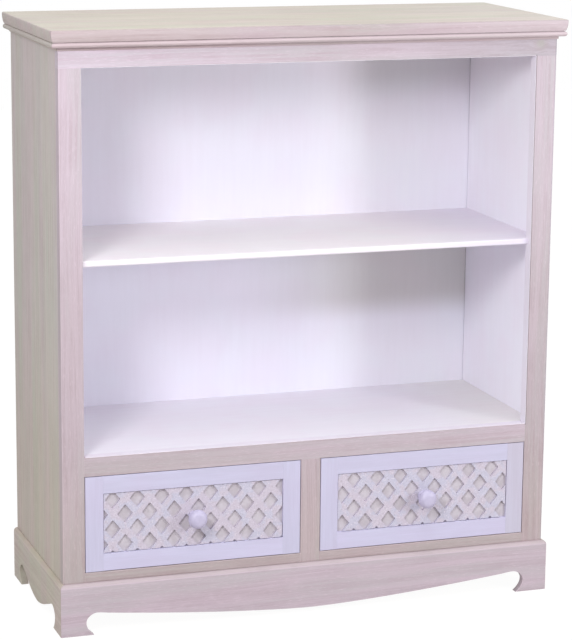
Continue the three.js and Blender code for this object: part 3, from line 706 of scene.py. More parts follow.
bare = {
    grain: bare_wood(f"bare_wood_{grain}", grain, seed=20 + i, **PINE)
    for i, grain in enumerate("xyz")
}
plywood = bare_wood("thin_plywood", ACROSS, seed=25, spacing=30 * MM, **PLYWOOD)
board_brown = hardboard("back_board")
bright_steel = steel_finish("bright_steel")
print("bare finishes:", [m.name for m in bare.values()], plywood.name, board_brown.name)

# %% [markdown]
# ## Small tools for pieces
# A finished piece has clean normals, its material, a body to ride on and the CAD piece that it
# stands for. Rounded arrises need weighted normals, or the flat faces beside them would look
# swollen, so that modifier is applied to every mesh here. The attribute "arris" marks the
# rounded faces, where the liming is paler: partly from paste, partly as a painted highlight.

# %% Piece tools
SHARP = math.radians(32)
WELD = 1e-6
body_of_node = {node: item["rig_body"] for node, item in frame["nodes"].items()}


def as_mesh(item, name):
    """The evaluated mesh of an object, as plain data."""
    evaluated = item.evaluated_get(bpy.context.evaluated_depsgraph_get())
    mesh = bpy.data.meshes.new_from_object(evaluated)
    mesh.name = name
    return mesh


def present(name, shape, finish, node=None, body=None):
    """Turns a bmesh into a finished piece that rides on its body and stands for its node."""
    bmesh.ops.recalc_face_normals(shape, faces=shape.faces)
    item = new_item(name, shape)
    item.data.shade_smooth()
    item.data.set_sharp_from_angle(angle=SHARP)
    weighted = item.modifiers.new("weighted", "WEIGHTED_NORMAL")
    weighted.keep_sharp = True
    final = as_mesh(item, name)
    item.modifiers.remove(weighted)
    item.data = final
    item.data.materials.clear()
    item.data.materials.append(finish)
    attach(item, body or body_of_node[node])
    if node:
        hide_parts(node)
    return item


def new_shape():
    shape = bmesh.new()
    shape.faces.layers.float.new("arris")
    return shape


def box_shape(low, high):
    shape = new_shape()
    bmesh.ops.create_cube(shape, size=1.0)
    for vert in shape.verts:
        vert.co = Vector(low[i] + (vert.co[i] + 0.5) * (high[i] - low[i]) for i in range(3))
    return shape


def skinned(shape, rings):
    """Joins rings of points with faces and closes both ends. Gives the side faces by level."""
    rows = [[shape.verts.new(point) for point in ring] for ring in rings]
    for row in (rows[0], rows[-1]):
        shape.faces.new(row)
    sides = []
    for lower, upper in zip(rows, rows[1:]):
        corners = zip(lower, lower[1:] + lower[:1], upper[1:] + upper[:1], upper)
        sides.append([shape.faces.new(four) for four in corners])
    return sides


def mark_arrises(shape, faces):
    layer = shape.faces.layers.float["arris"]
    for face in faces:
        face[layer] = 1.0


# %% [markdown]
# ## Straight boards
# Most of the bookcase is straight boards. A board straight from the plane has knife edges, and
# a joiner takes them off with a few strokes of sandpaper: about a millimetre along the grain,
# and next to nothing where the board butts against its neighbour: at its ends, and along an
# edge that carries a joint. So the free long edges of a box are bevelled first, with a wide
# bevel, and then the rest with a fine one.

# %% Planed boards
BOARD_ARRIS = 1.0 * MM
FRAME_ARRIS = 0.8 * MM
DRAWER_ARRIS = 0.9 * MM
JOINT_ARRIS = 0.2 * MM
ARRIS_STEPS, JOINT_STEPS = 4, 2
NEARLY_ALONG = 0.99
LEFT, RIGHT, DOWN, UP, NOWHERE = (-1, 0, 0), (1, 0, 0), (0, 0, -1), (0, 0, 1), (0, 0, 0)


def sharp_edges(shape):
    return [
        edge for edge in shape.edges
        if len(edge.link_faces) == 2 and edge.calc_face_angle() > SHARP
    ]


def edges_along(shape, axis):
    return [
        edge for edge in shape.edges
        if abs((edge.verts[1].co - edge.verts[0].co).normalized()[axis]) > NEARLY_ALONG
    ]


def ease(shape, edges, radius, segments):
    """Rounds edges over, and marks the faces that this makes."""
    made = bmesh.ops.bevel(
        shape, geom=edges, offset=radius, offset_type="OFFSET", segments=segments,
        profile=0.5, affect="EDGES", clamp_overlap=True,
    )
    mark_arrises(shape, made["faces"])


def planed_board(node, grain, finish, arris=BOARD_ARRIS, joint=NOWHERE):
    """joint points from the board's middle to the side that carries a joint."""
    low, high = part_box(node)
    middle = (low + high) / 2
    shape = box_shape(low, high)
    free = [
        edge for edge in edges_along(shape, "xyz".index(grain))
        if (sum((v.co for v in edge.verts), Vector()) / 2 - middle).dot(Vector(joint)) <= 0
    ]
    ease(shape, free, arris, ARRIS_STEPS)
    ease(shape, sharp_edges(shape), JOINT_ARRIS, JOINT_STEPS)
    return present(f"{node}_planed", shape, finish, node)


FRAME_MEMBERS = (
    ("top_rail", ACROSS, "top_rail", DOWN),
    ("mid_rail", ACROSS, "front_across", DOWN),
    ("bottom_rail_left", ACROSS, "front_across", NOWHERE),
    ("bottom_rail_right", ACROSS, "front_across", NOWHERE),
    ("stile_left", UPRIGHT, "front_upright", RIGHT),
    ("stile_right", UPRIGHT, "front_upright", LEFT),
    ("mullion", UPRIGHT, "front_upright", NOWHERE),
)
DRAWER_MEMBERS = (
    ("stile_left", UPRIGHT, "drawer_upright", RIGHT),
    ("stile_right", UPRIGHT, "drawer_upright", LEFT),
    ("rail_top", ACROSS, "drawer_across", DOWN),
    ("rail_bottom", ACROSS, "drawer_across", UP),
)
HIDDEN_BOARDS = {
    ACROSS: ["top_strip_back", "plinth_back_rail", "drawer_left_back", "drawer_right_back"],
    DEEP: ["drawer_divider", "kicker_left", "kicker_right"] + [
        f"guide_{side}_{place}" for side in SIDES for place in ("outer", "inner")
    ],
    UPRIGHT: [f"corner_block_{end}_{side}" for end in ("front", "back") for side in SIDES],
}

boards = [
    planed_board(node, grain, limed[finish], FRAME_ARRIS, joint)
    for node, grain, finish, joint in FRAME_MEMBERS
]
for grain, nodes in HIDDEN_BOARDS.items():
    boards += [planed_board(node, grain, bare[grain]) for node in nodes]
for side in SIDES:
    boards += [
        planed_board(
            f"drawer_{side}_{part}", grain, painted[finish], DRAWER_ARRIS, joint,
        )
        for part, grain, finish, joint in DRAWER_MEMBERS
    ]
print(len(boards), "planed boards")

# %% [markdown]
# ## Boards cut to a shape
# The side panels carry grooves, the drawer sides too, and the drawer fronts have a hole for the
# knob's screw. The frame has those cuts already, as loose triangles. Welding a copy of them
# gives whole faces again, and then only the sharp edges are eased, by a fraction of a
# millimetre, which is what a sharp saw and one pass of sandpaper leave.

# %% Sawn boards
SAWN_ARRIS = 0.4 * MM
SHELF_ARRIS = 0.35 * MM
FLAT = math.radians(0.5)


def sawn_board(node, finish, arris=SAWN_ARRIS):
    shape = new_shape()
    shape.from_mesh(frame["nodes"][node].data)
    bmesh.ops.remove_doubles(shape, verts=shape.verts, dist=WELD)
    bmesh.ops.dissolve_limit(shape, angle_limit=FLAT, verts=shape.verts, edges=shape.edges)
    ease(shape, sharp_edges(shape), arris, JOINT_STEPS)
    return present(f"{node}_sawn", shape, finish, node)


sawn = [sawn_board(f"side_panel_{side}", limed["side"]) for side in SIDES]
sawn += [
    sawn_board("deck_board", painted["deck_across"]),
    sawn_board("bottom_board", bare[ACROSS]),
]
for side in SIDES:
    sawn += [
        sawn_board(f"drawer_{side}_side_left", bare[DEEP]),
        sawn_board(f"drawer_{side}_side_right", bare[DEEP]),
        sawn_board(f"drawer_{side}_bottom", plywood),
    ]
print(len(sawn), "sawn boards")

# %% [markdown]
# ## Skirts with a scalloped edge
# A plinth skirt is one outline cut from a board, and its edges are not all alike: the top is
# rounded over with a router, the scallop is only sanded, and the ends are mitred. Offsetting the
# outline by a different amount on each edge, in steps that follow a quarter circle, gives every
# edge its own roundness in one go. The outline lies in (u, v) and the board's thickness in w.
# The scallop itself is three short curves for the hook over the foot and one power curve for
# the belly, drawn for half of the skirt and mirrored.

# %% Cut plates
EASE_STEPS = 5
NEARLY_STRAIGHT = 0.05


def shrunk(points, amounts):
    """The outline with each edge, from its point to the next one, moved inwards by its amount."""
    moved = []
    for i, point in enumerate(points):
        before_it = (point - points[i - 1]).normalized()
        after_it = (points[(i + 1) % len(points)] - point).normalized()
        first, second = amounts[i - 1], amounts[i]
        cross = before_it.x * after_it.y - before_it.y * after_it.x
        if abs(cross) < NEARLY_STRAIGHT:
            along_both = before_it + after_it
            inwards = Vector((-along_both.y, along_both.x)).normalized()
            moved.append(point + inwards * (first + second) / 2)
        else:
            moved.append(point + (after_it * first - before_it * second) / cross)
    return moved


def face_rings(points, radii):
    """Rings of (u, v, w) from a face of the board, at w = 0, to where its edge is upright."""
    reach = [max(radii[i - 1], radii[i]) for i in range(len(points))]
    rings = []
    for step in range(EASE_STEPS + 1):
        angle = math.pi / 2 * step / EASE_STEPS
        ring = shrunk(points, [radius * (1 - math.sin(angle)) for radius in radii])
        rings.append([(*p, depth * (1 - math.cos(angle))) for p, depth in zip(ring, reach)])
    return rings


def cut_plate(points, front, back, thickness, placed):
    """A board cut to an outline. front and back give each edge's roundness on that face."""
    rings = face_rings(points, front)
    for ring in reversed(face_rings(points, back)):
        rings.append([(u, v, thickness - w) for u, v, w in ring])
    shape = new_shape()
    sides = skinned(shape, [[placed(*point) for point in ring] for ring in rings])
    for level, faces in enumerate(sides):
        if level != EASE_STEPS:
            mark_arrises(shape, faces)
    bmesh.ops.remove_doubles(shape, verts=shape.verts, dist=WELD)
    bmesh.ops.dissolve_degenerate(shape, edges=shape.edges, dist=WELD)
    return shape


# %% Scalloped skirts
SKIRT_THICKNESS = 12 * MM
SKIRT_ARRIS = 5.5 * MM
SCALLOP_ARRIS = 0.6 * MM
MITRE_GAP = 0.2 * MM
HOOK_TOP = (56 * MM, 34.5 * MM)
HOOK_WAIST = (39 * MM, 20 * MM)
BELLY_START = 78 * MM
FRONT_SCALLOP = {"tip": 51 * MM, "low": 9.5 * MM, "high": 32 * MM, "power": 1.5}
SIDE_SCALLOP = {"tip": 50 * MM, "low": 8.5 * MM, "high": 30 * MM, "power": 1.7}
HOOK_STEPS = 10
BELLY_STEPS = 36


def bend(start, *corners, steps):
    """Points of a Bezier curve of any order, without its start."""
    points = []
    for step in range(1, steps + 1):
        row = [Vector(corner) for corner in (start, *corners)]
        while len(row) > 1:
            row = [a.lerp(b, step / steps) for a, b in zip(row, row[1:])]
        points.append(row[0])
    return points


def half_scallop(length, tip, low, high, power):
    """The lower edge from the outer corner of a foot to the middle of the skirt."""
    waist, top, belly = HOOK_WAIST, HOOK_TOP, (BELLY_START, high)
    points = [Vector((0, 0)), Vector((tip, 0))]
    for start, first, second, end in (
        ((tip, 0), (waist[0] + 6 * MM, 5 * MM), (waist[0], 11 * MM), waist),
        (waist, (waist[0], waist[1] + 8 * MM), (top[0] - 7 * MM, top[1]), top),
        (top, (top[0] + 6 * MM, top[1]), (belly[0] - 6 * MM, high + 0.5 * MM), belly),
    ):
        points += bend(start, first, second, end, steps=HOOK_STEPS)
    reach = length / 2 - BELLY_START
    for step in range(1, BELLY_STEPS + 1):
        share = 1 - step / BELLY_STEPS
        points.append(Vector((length / 2 - reach * share, low + (high - low) * share ** power)))
    return points


def skirt(node, length, form, mitres, placed, finish):
    """mitres says whether the left and the right end are mitred."""
    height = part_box(node)[1].z
    half = half_scallop(length, **form)
    lower = half + [Vector((length - p.x, p.y)) for p in reversed(half[:-1])]
    points = lower + [Vector((length, height)), Vector((0, height))]
    edge = [SCALLOP_ARRIS] * (len(lower) - 1)

    def mitred(u, v, w):
        if mitres[0] and u < WELD:
            u = MITRE_GAP + w
        if mitres[1] and u > length - WELD:
            u = length - MITRE_GAP - w
        return placed(u, v, w)

    front, back = [*edge, 0.0, SKIRT_ARRIS, 0.0], [*edge, 0.0, 0.0, 0.0]
    shape = cut_plate(points, front, back, SKIRT_THICKNESS, mitred)
    return present(f"{node}_scalloped", shape, finish, node)


def skirts():
    low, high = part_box("skirt_front")
    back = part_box("skirt_left")[1].y
    width, depth = high.x - low.x + 2 * MITRE_GAP, back - low.y
    return [
        skirt(
            "skirt_front", width, FRONT_SCALLOP, (True, True),
            lambda u, v, w: (low.x - MITRE_GAP + u, low.y + w, v), limed["skirt_across"],
        ),
        skirt(
            "skirt_left", depth, SIDE_SCALLOP, (False, True),
            lambda u, v, w: (low.x - MITRE_GAP + w, back - u, v), limed["skirt_deep"],
        ),
        skirt(
            "skirt_right", depth, SIDE_SCALLOP, (True, False),
            lambda u, v, w: (high.x + MITRE_GAP - w, low.y + u, v), limed["skirt_deep"],
        ),
    ]


plinth_skirts = skirts()
print("skirts with", [len(item.data.polygons) for item in plinth_skirts], "faces")

# %% [markdown]
# ## The moulded top
# The edge of the top slab swells out of a small undercut and turns over into a quarter round,
# on three sides; the back is sawn straight. Instead of moulding a straight length three times
# and fitting mitres, the slab is drawn as a stack of plan outlines: each height of the section
# is one outline, set in by as much as the section is there.

# %% Moulded top
SLAB_UNDERCUT = 2.5 * MM
SLAB_ARRIS = 2 * MM
CORNER_RADIUS = 1.5 * MM
CORNER_STEPS = 4
SECTION_STEPS = 8


def slab_section(bottom, top):
    """Pairs of inset and height, from the foot of the slab's edge to its top."""
    swell = top - 2 * SLAB_ARRIS
    start, middle, end = (SLAB_UNDERCUT, bottom), (0, (bottom + swell) / 2), (0, swell)
    section = [start] + [tuple(point) for point in bend(start, middle, end, steps=SECTION_STEPS)]
    for step in range(SECTION_STEPS + 1):
        angle = math.pi / 2 * step / SECTION_STEPS
        section.append((
            SLAB_ARRIS * (1 - math.cos(angle)), top - SLAB_ARRIS * (1 - math.sin(angle)),
        ))
    return section


def plan_outline(inset):
    """The slab in plan, with slightly round front corners."""
    radius = CORNER_RADIUS
    left, right, front = slab_low.x + inset, slab_high.x - inset, slab_low.y + inset
    outline = [(left, slab_high.y)]
    for x, turn in ((left + radius, math.pi), (right - radius, 1.5 * math.pi)):
        for step in range(CORNER_STEPS + 1):
            angle = turn + math.pi / 2 * step / CORNER_STEPS
            outline.append((x + radius * math.cos(angle), front + radius * (1 + math.sin(angle))))
    return [*outline, (right, slab_high.y)]


def moulded_top():
    shape = new_shape()
    skinned(shape, [
        [(x, y, height) for x, y in plan_outline(inset)]
        for inset, height in slab_section(slab_low.z, slab_high.z)
    ])
    return present("top_board_moulded", shape, limed["top"], "top_board")


top = moulded_top()
print("top slab:", len(top.data.polygons), "faces")

# %% [markdown]
# ## Strips with a half-round bead
# Under the slab a strip carries a half-round bead on three sides, with a fillet below it that
# lies far back and in the shade. A length of moulding is a section swept along a line, and a
# mitre is only that each point of the section stops earlier the deeper it lies. The bead stands
# off the slab by a narrow quirk, which the eye reads as a line.

# %% Beaded strips
STRIP_WIDTH = 40 * MM
BEAD_SETBACK = 1.0 * MM
FILLET_SETBACK = 11 * MM
BEAD_STEPS = 16
FIRST_ON_BEAD = 4


def bead_section(height):
    """The strip's section: u runs inwards from the slab's edge and v upwards."""
    inner, bead = BEAD_SETBACK + STRIP_WIDTH, BEAD_SETBACK + BEAD_RADIUS
    section = [(FILLET_SETBACK, 0.0), (inner, 0.0), (inner, height), (bead, height)]
    for step in range(BEAD_STEPS + 1):
        angle = math.pi / 2 + math.pi * step / BEAD_STEPS
        section.append((
            bead + BEAD_RADIUS * math.cos(angle), BEAD_MIDDLE + BEAD_RADIUS * math.sin(angle),
        ))
    return [*section, (FILLET_SETBACK, BEAD_MIDDLE - BEAD_RADIUS)]


def beaded_strip(node, length, mitres, placed, finish):
    low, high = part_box(node)
    section = bead_section(high.z - low.z)
    ends = [
        [
            placed(side * (length / 2 - (MITRE_GAP + u if mitred else 0.0)), u, low.z + v)
            for u, v in section
        ]
        for side, mitred in zip((-1, 1), mitres)
    ]
    shape = new_shape()
    faces = skinned(shape, ends)[0]
    # The upper half of the bead is marked as arris, which paints it paler: partly paste, partly a
    # painted highlight.
    mark_arrises(shape, faces[FIRST_ON_BEAD:FIRST_ON_BEAD + BEAD_STEPS // 2])
    return present(f"{node}_beaded", shape, finish, node)


def beaded_strips():
    low, high = slab_low, slab_high
    middle = (low.y + high.y) / 2
    width, depth = high.x - low.x, high.y - low.y
    return [
        beaded_strip(
            "top_strip_front", width, (True, True), lambda s, u, z: (s, low.y + u, z),
            limed["bead_across"],
        ),
        beaded_strip(
            "top_strip_left", depth, (False, True), lambda s, u, z: (low.x + u, middle - s, z),
            limed["bead_deep"],
        ),
        beaded_strip(
            "top_strip_right", depth, (True, False), lambda s, u, z: (high.x - u, middle + s, z),
            limed["bead_deep"],
        ),
    ]


strips = beaded_strips()
print(len(strips), "beaded strips")

# %% [markdown]
# ## Shelf and back
# The shelf is thin, with a rounded front edge, and both it and the deck are painted. The paint
# has cracked open along the right side, which leaves a fine upright line in that corner: a
# groove a millimetre wide, so that no light comes through. The back board's plan is drawn with
# that notch and pulled up to its full height.

# %% Shelf and back board
GROOVE_WIDTH = 1.0 * MM
GROOVE_DEPTH = 1.2 * MM


def grooved_back():
    low, high = panel_low, panel_high
    edge, groove = INSIDE - GROOVE_WIDTH, low.y + GROOVE_DEPTH
    plan = [
        (low.x, low.y), (edge, low.y), (edge, groove), (INSIDE, groove), (INSIDE, low.y),
        (high.x, low.y), (high.x, high.y), (low.x, high.y),
    ]
    shape = new_shape()
    skinned(shape, [[(x, y, z) for x, y in plan] for z in (low.z, high.z)])
    return present("back_panel_grooved", shape, board_brown, "back_panel")


shelf_board = sawn_board("shelf", painted["shelf_across"], SHELF_ARRIS)
back_board = grooved_back()
print("shelf", len(shelf_board.data.polygons), "faces; back", len(back_board.data.polygons))

# %% [markdown]
# ## The boards behind the lattice
# Each drawer front is a board under an applied frame. In the panel it is painted a beige grey,
# slightly stippled, which the lattice sets off; its edges carry the white of the frame, and its
# inner face is bare. One finish does it all with three masks on the drawer's own coordinates:
# both drawers are mirror images about the middle, so the distance from the middle serves both.

# %% Drawer front boards
drawer_low, drawer_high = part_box("drawer_right_front_board")
DRAWER_X = (drawer_low.x + drawer_high.x) / 2
DRAWER_Z = (drawer_low.z + drawer_high.z) / 2
PANEL_HALF_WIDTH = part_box("drawer_right_rail_top")[1].x - DRAWER_X
PANEL_HALF_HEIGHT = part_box("drawer_right_rail_top")[0].z - DRAWER_Z
FRONT_BOARD_ARRIS = 0.5 * MM
GROUND = ((189, 183, 191), (205, 200, 209), (202, 190, 200))


def panel_ground(name):
    material, place = new_finish(name)
    x, y, z = split(place)
    across = calc("ABSOLUTE", calc("ABSOLUTE", x) - DRAWER_X)
    up = calc("ABSOLUTE", z - DRAWER_Z)
    outside = calc("MAXIMUM", above(across, PANEL_HALF_WIDTH), above(up, PANEL_HALF_HEIGHT))
    edge = calc("MAXIMUM", outside, above(y, drawer_low.y + 0.6 * MM))
    rear = above(y, drawer_high.y - 0.3 * MM)

    stipple = cloud_noise(place, 51, 0.0016, 3.0, 0.6)
    blotches = cloud_noise(place, 52, 0.014)
    deep, pale, pinkish = (tone(colour) for colour in GROUND)
    ground = mixed(ramp(blotches, 0.35, 0.65), deep, pale)
    ground = mixed(ramp(stipple, 0.35, 0.7, 0.0, 0.5), ground, pinkish)
    white, ridges = brushed(place, ACROSS, DRAWER_WHITE, 53)
    wood = mixed(ramp(blotches, 0.3, 0.7), tone(PINE["deep"]), tone(PINE["pale"]))
    colour = mixed(rear, mixed(edge, ground, white), wood)
    return coat(material, colour, 0.68, (stipple + ridges, 0.2 * MM, 0.4))


ground_finish = panel_ground("panel_ground")
front_boards = [
    sawn_board(f"drawer_{side}_front_board", ground_finish, FRONT_BOARD_ARRIS)
    for side in SIDES
]
print("drawer front boards:", [item.name for item in front_boards])

# %% [markdown]
# ## The lattice, by Geometry Nodes
# The lattice of a drawer is one thin fretted panel: crossing bars that leave rows of diamonds,
# each row stepping sideways by half a diamond. It follows a rule, so a node tree makes it. A
# square grid turned by 45 degrees and stretched to the pitch gives the staggered points. On
# each point stands a cutter, a diamond with rounded corners swept through the panel, which
# flares by a quarter circle near the face, so that the bars come out with soft arrises. The
# cutters are subtracted from a plate, and a little noise gives the outlines their hand-cut
# waver. All sizes are named inputs, so the two drawers differ only in how far the pattern is
# shifted.

# %% Geometry Nodes tools
class Tree:
    """A Geometry Nodes tree with named inputs."""

    def __init__(self, name):
        self.group = bpy.data.node_groups.new(name, "GeometryNodeTree")
        self.group.interface.new_socket(
            "Geometry", in_out="OUTPUT", socket_type="NodeSocketGeometry",
        )
        self.inlet = self.group.nodes.new("NodeGroupInput")
        self.outlet = self.group.nodes.new("NodeGroupOutput")

    def entry(self, name, kind="Float"):
        self.group.interface.new_socket(name, in_out="INPUT", socket_type=f"NodeSocket{kind}")
        return Value(self.group, self.inlet.outputs[name])

    def part(self, kind, inputs=None, **options):
        """What the node of this kind makes."""
        return result(self.group, f"GeometryNode{kind}", inputs, **options)

    def turn(self, kind, inputs, **options):
        """A rotation or a random value."""
        return result(self.group, f"FunctionNode{kind}", inputs, **options)

    def vector(self, x=0.0, y=0.0, z=0.0):
        return result(self.group, "ShaderNodeCombineXYZ", {"X": x, "Y": y, "Z": z})

    def close(self, geometry):
        """Ends the tree: instances made real, the material set."""
        real = self.part("RealizeInstances", {"Geometry": geometry})
        material = self.entry("Material", "Material")
        finished = self.part("SetMaterial", {"Geometry": real, "Material": material})
        feed(self.group, self.outlet.inputs[0], finished)
        return self.group


def grown(name, group, values):
    """The plain mesh that a tree makes with these inputs, with its modifier gone."""
    item = new_item(name, bpy.data.meshes.new(name))
    modifier = item.modifiers.new("nodes", "NODES")
    modifier.node_group = group
    sockets = {s.name: s.identifier for s in group.interface.items_tree if s.in_out == "INPUT"}
    for label, value in values.items():
        modifier[sockets[label]] = value
    mesh = as_mesh(item, name)
    item.modifiers.remove(modifier)
    bpy.data.objects.remove(item)
    return mesh


# %% Lattice tree
FLARE_STEPS = 4
FILLET_STEPS = 4
DRILL_SIDES = 24
CUTTER_MARGIN = 1.0 * MM
LATTICE_CELLS = 18
HALF_DIAGONAL = math.sqrt(0.5)
WAVER_SCALE = 130.0


def diamond_cutter(tree, width, height, corner, arris, thickness):
    """A rounded diamond along Z through the plate, flared at the plate's face, at z = 0."""
    square = tree.part("CurvePrimitiveCircle", {"Resolution": 4, "Radius": 0.5}, mode="RADIUS")
    diamond = tree.part("Transform", {"Geometry": square, "Scale": tree.vector(width, height, 1.0)})
    fillet = {"Curve": diamond, "Radius": corner, "Count": FILLET_STEPS}
    profile = tree.part("FilletCurve", fillet, mode="POLY")
    spine = tree.part("CurvePrimitiveLine", {"Start": (0, 0, 0), "End": (0, 0, 1)})
    spine = tree.part("ResampleCurve", {"Curve": spine, "Count": FLARE_STEPS + 3}, mode="COUNT")

    index = tree.part("InputIndex")
    step = (index - 1.0) / float(FLARE_STEPS)
    angle = calc("MINIMUM", calc("MAXIMUM", step, 0.0), 1.0) * (math.pi / 2)
    depth = arris * (calc("SINE", angle) - 1.0)
    below_plate = calc("LESS_THAN", index, 0.5) * (thickness + CUTTER_MARGIN)
    over_plate = calc("GREATER_THAN", index, FLARE_STEPS + 1.5) * CUTTER_MARGIN
    height_on_spine = tree.vector(z=depth - below_plate + over_plate)
    spine = tree.part("SetPosition", {"Geometry": spine, "Position": height_on_spine})

    offset = arris * (1.0 - calc("COSINE", angle))
    diagonal = calc("SQRT", calc("POWER", width, 2.0) + calc("POWER", height, 2.0))
    reach = width * height / (diagonal * 2.0)
    spine = tree.part("SetCurveRadius", {"Curve": spine, "Radius": offset / reach + 1.0})
    return tree.part("CurveToMesh", {"Curve": spine, "Profile Curve": profile, "Fill Caps": True})


def lattice_points(tree, width, height, across, up, shift_x, shift_y):
    """The middles of the diamonds, staggered row by row, as far as they touch the plate."""
    grid = tree.part("MeshGrid", {
        "Size X": float(LATTICE_CELLS), "Size Y": float(LATTICE_CELLS),
        "Vertices X": LATTICE_CELLS + 1, "Vertices Y": LATTICE_CELLS + 1,
    })
    turned_grid = tree.part("Transform", {
        "Geometry": grid, "Rotation": (0, 0, math.radians(45)),
    })
    points = tree.part("Transform", {
        "Geometry": turned_grid,
        "Translation": tree.vector(across * 0.5 + shift_x, up * 0.25 + shift_y),
        "Scale": tree.vector(across * HALF_DIAGONAL, up * HALF_DIAGONAL, 1.0),
    })
    x, y, _ = split(tree.part("InputPosition"))
    off_plate = calc("MAXIMUM", *(
        calc("GREATER_THAN", calc("ABSOLUTE", place), size * 0.5 + pitch)
        for place, size, pitch in ((x, width, across), (y, height, up))
    ))
    return tree.part("DeleteGeometry", {"Geometry": points, "Selection": off_plate})


def lattice_tree():
    """The plate lies in X and Y, with its face at z = 0 and its back at z = -Thickness."""
    tree = Tree("fretted_lattice")
    width, height, thickness, across, up, opening, corner, arris, shift_x, shift_y, waver, hole = (
        tree.entry(name) for name in (
            "Width", "Height", "Thickness", "Pitch Across", "Pitch Up", "Opening", "Corner",
            "Arris", "Shift Across", "Shift Up", "Waver", "Screw Hole",
        )
    )
    points = lattice_points(tree, width, height, across, up, shift_x, shift_y)
    cutter = diamond_cutter(tree, across * opening, up * opening, corner, arris, thickness)
    cutters = tree.part("InstanceOnPoints", {"Points": points, "Instance": cutter})
    cutters = tree.part("RealizeInstances", {"Geometry": cutters})
    drill = tree.part("MeshCylinder", {
        "Vertices": DRILL_SIDES, "Radius": hole, "Depth": thickness * 3.0,
    })
    plate = tree.part("MeshCube", {"Size": tree.vector(width, height, thickness)})
    plate = tree.part("Transform", {
        "Geometry": plate, "Translation": tree.vector(z=thickness * -0.5),
    })
    fretted = put(
        tree.group, "GeometryNodeMeshBoolean", {"Mesh 1": plate},
        operation="DIFFERENCE", solver="EXACT",
    )
    for tool in (cutters, drill):
        feed(tree.group, fretted.inputs["Mesh 2"], tool)

    noise = {"Scale": WAVER_SCALE, "Detail": 1.0}
    wobble = result(tree.group, "ShaderNodeTexNoise", noise, "Color")
    wobble = vector_calc("SUBTRACT", wobble, (0.5, 0.5, 0.5))
    wobble = vector_calc("MULTIPLY", wobble, tree.vector(waver, waver))
    cut = Value(tree.group, fretted.outputs[0])
    return tree.close(tree.part("SetPosition", {"Geometry": cut, "Offset": wobble}))


fretting = lattice_tree()
print("lattice tree:", len(fretting.nodes), "nodes")

# %% [markdown]
# ## Setting the lattices into their frames
# The tree draws the lattice flat. Here it is stood upright, set into the panel of each drawer
# with a hair of room all round, and finished in a broken white: thick paint over the bars, a
# little rosy and a little blue in turn, with a dry speckle where the brush skipped. The walls of
# the openings that look down and to the left are painted darker, as painted shade.

# %% Lattice paint
LATTICE_WHITE = (202, 197, 214)
LATTICE_BLUE = (192, 193, 215)
LATTICE_ROSE = (204, 191, 205)
LATTICE_DRY = (172, 163, 172)
LATTICE_BRIGHT = (224, 217, 230)
LATTICE_ARRIS = (222, 216, 228)
LATTICE_WALL_SHADE = (150, 141, 154)


def lattice_paint(name):
    material, place = new_finish(name)
    blotches = cloud_noise(place, 61, 0.016)
    speckle = cloud_noise(place, 62, 0.0022, 3.0, 0.65)
    colour = mixed(ramp(blotches, 0.40, 0.60), tone(LATTICE_BLUE), tone(LATTICE_ROSE))
    for share, layer in (
        (0.5, LATTICE_WHITE),
        (ramp(speckle, 0.55, 0.70, 0.0, 0.6), LATTICE_DRY),
        (ramp(speckle, 0.47, 0.32, 0.0, 0.75), LATTICE_BRIGHT),
        (attribute(place, "arris") * 0.35, LATTICE_ARRIS),
        # Painted shade on the walls of the openings that look down and to the left.
        (attribute(place, "shaded_wall") * 0.35, LATTICE_WALL_SHADE),
    ):
        colour = mixed(share, colour, tone(layer))
    return coat(material, colour, 0.6, (speckle, 0.15 * MM, 0.35))


lattice_finish = lattice_paint("broken_white")

# %% Lattices
LATTICE = {
    "Thickness": 3.5 * MM, "Pitch Across": 38 * MM, "Pitch Up": 46 * MM, "Opening": 0.635,
    "Corner": 1.4 * MM, "Arris": 0.7 * MM, "Shift Up": 1.25 * MM, "Waver": 0.5 * MM,
    "Screw Hole": 2.5 * MM,
}
LATTICE_SHIFT = {"left": -12 * MM, "right": 0.5 * MM}
LATTICE_ROOM = 0.8 * MM
LATTICE_WELD = 0.02 * MM
LATTICE_FACE = 1.0 * MM
FLARE_LEAST, FLARE_MOST, WALL_MOST = 0.15, 0.97, 0.2
SHADED_WAY = Vector((-1.0, 0.0, -0.6)).normalized()


def largest_body(shape):
    """Drops the small corners that the cuts set free."""
    left, bodies = set(shape.verts), []
    while left:
        body, front = set(), [left.pop()]
        while front:
            vert = front.pop()
            body.add(vert)
            near = {edge.other_vert(vert) for edge in vert.link_edges} & left
            left -= near
            front += near
        bodies.append(body)
    bodies.sort(key=len)
    loose = [vert for body in bodies[:-1] for vert in body]
    bmesh.ops.delete(shape, geom=loose, context="VERTS")


def mark_lattice(shape, face_y):
    """Marks the soft arrises, and the walls by how far they look down and to the left, for painted
    shade.
    """
    mark_arrises(shape, [
        face for face in shape.faces
        if FLARE_LEAST < abs(face.normal.y) < FLARE_MOST
        and face.calc_center_median().y < face_y + LATTICE_FACE
    ])
    shaded_wall = shape.faces.layers.float.new("shaded_wall")
    for face in shape.faces:
        if abs(face.normal.y) < WALL_MOST:
            face[shaded_wall] = max(0.0, face.normal.dot(SHADED_WAY))


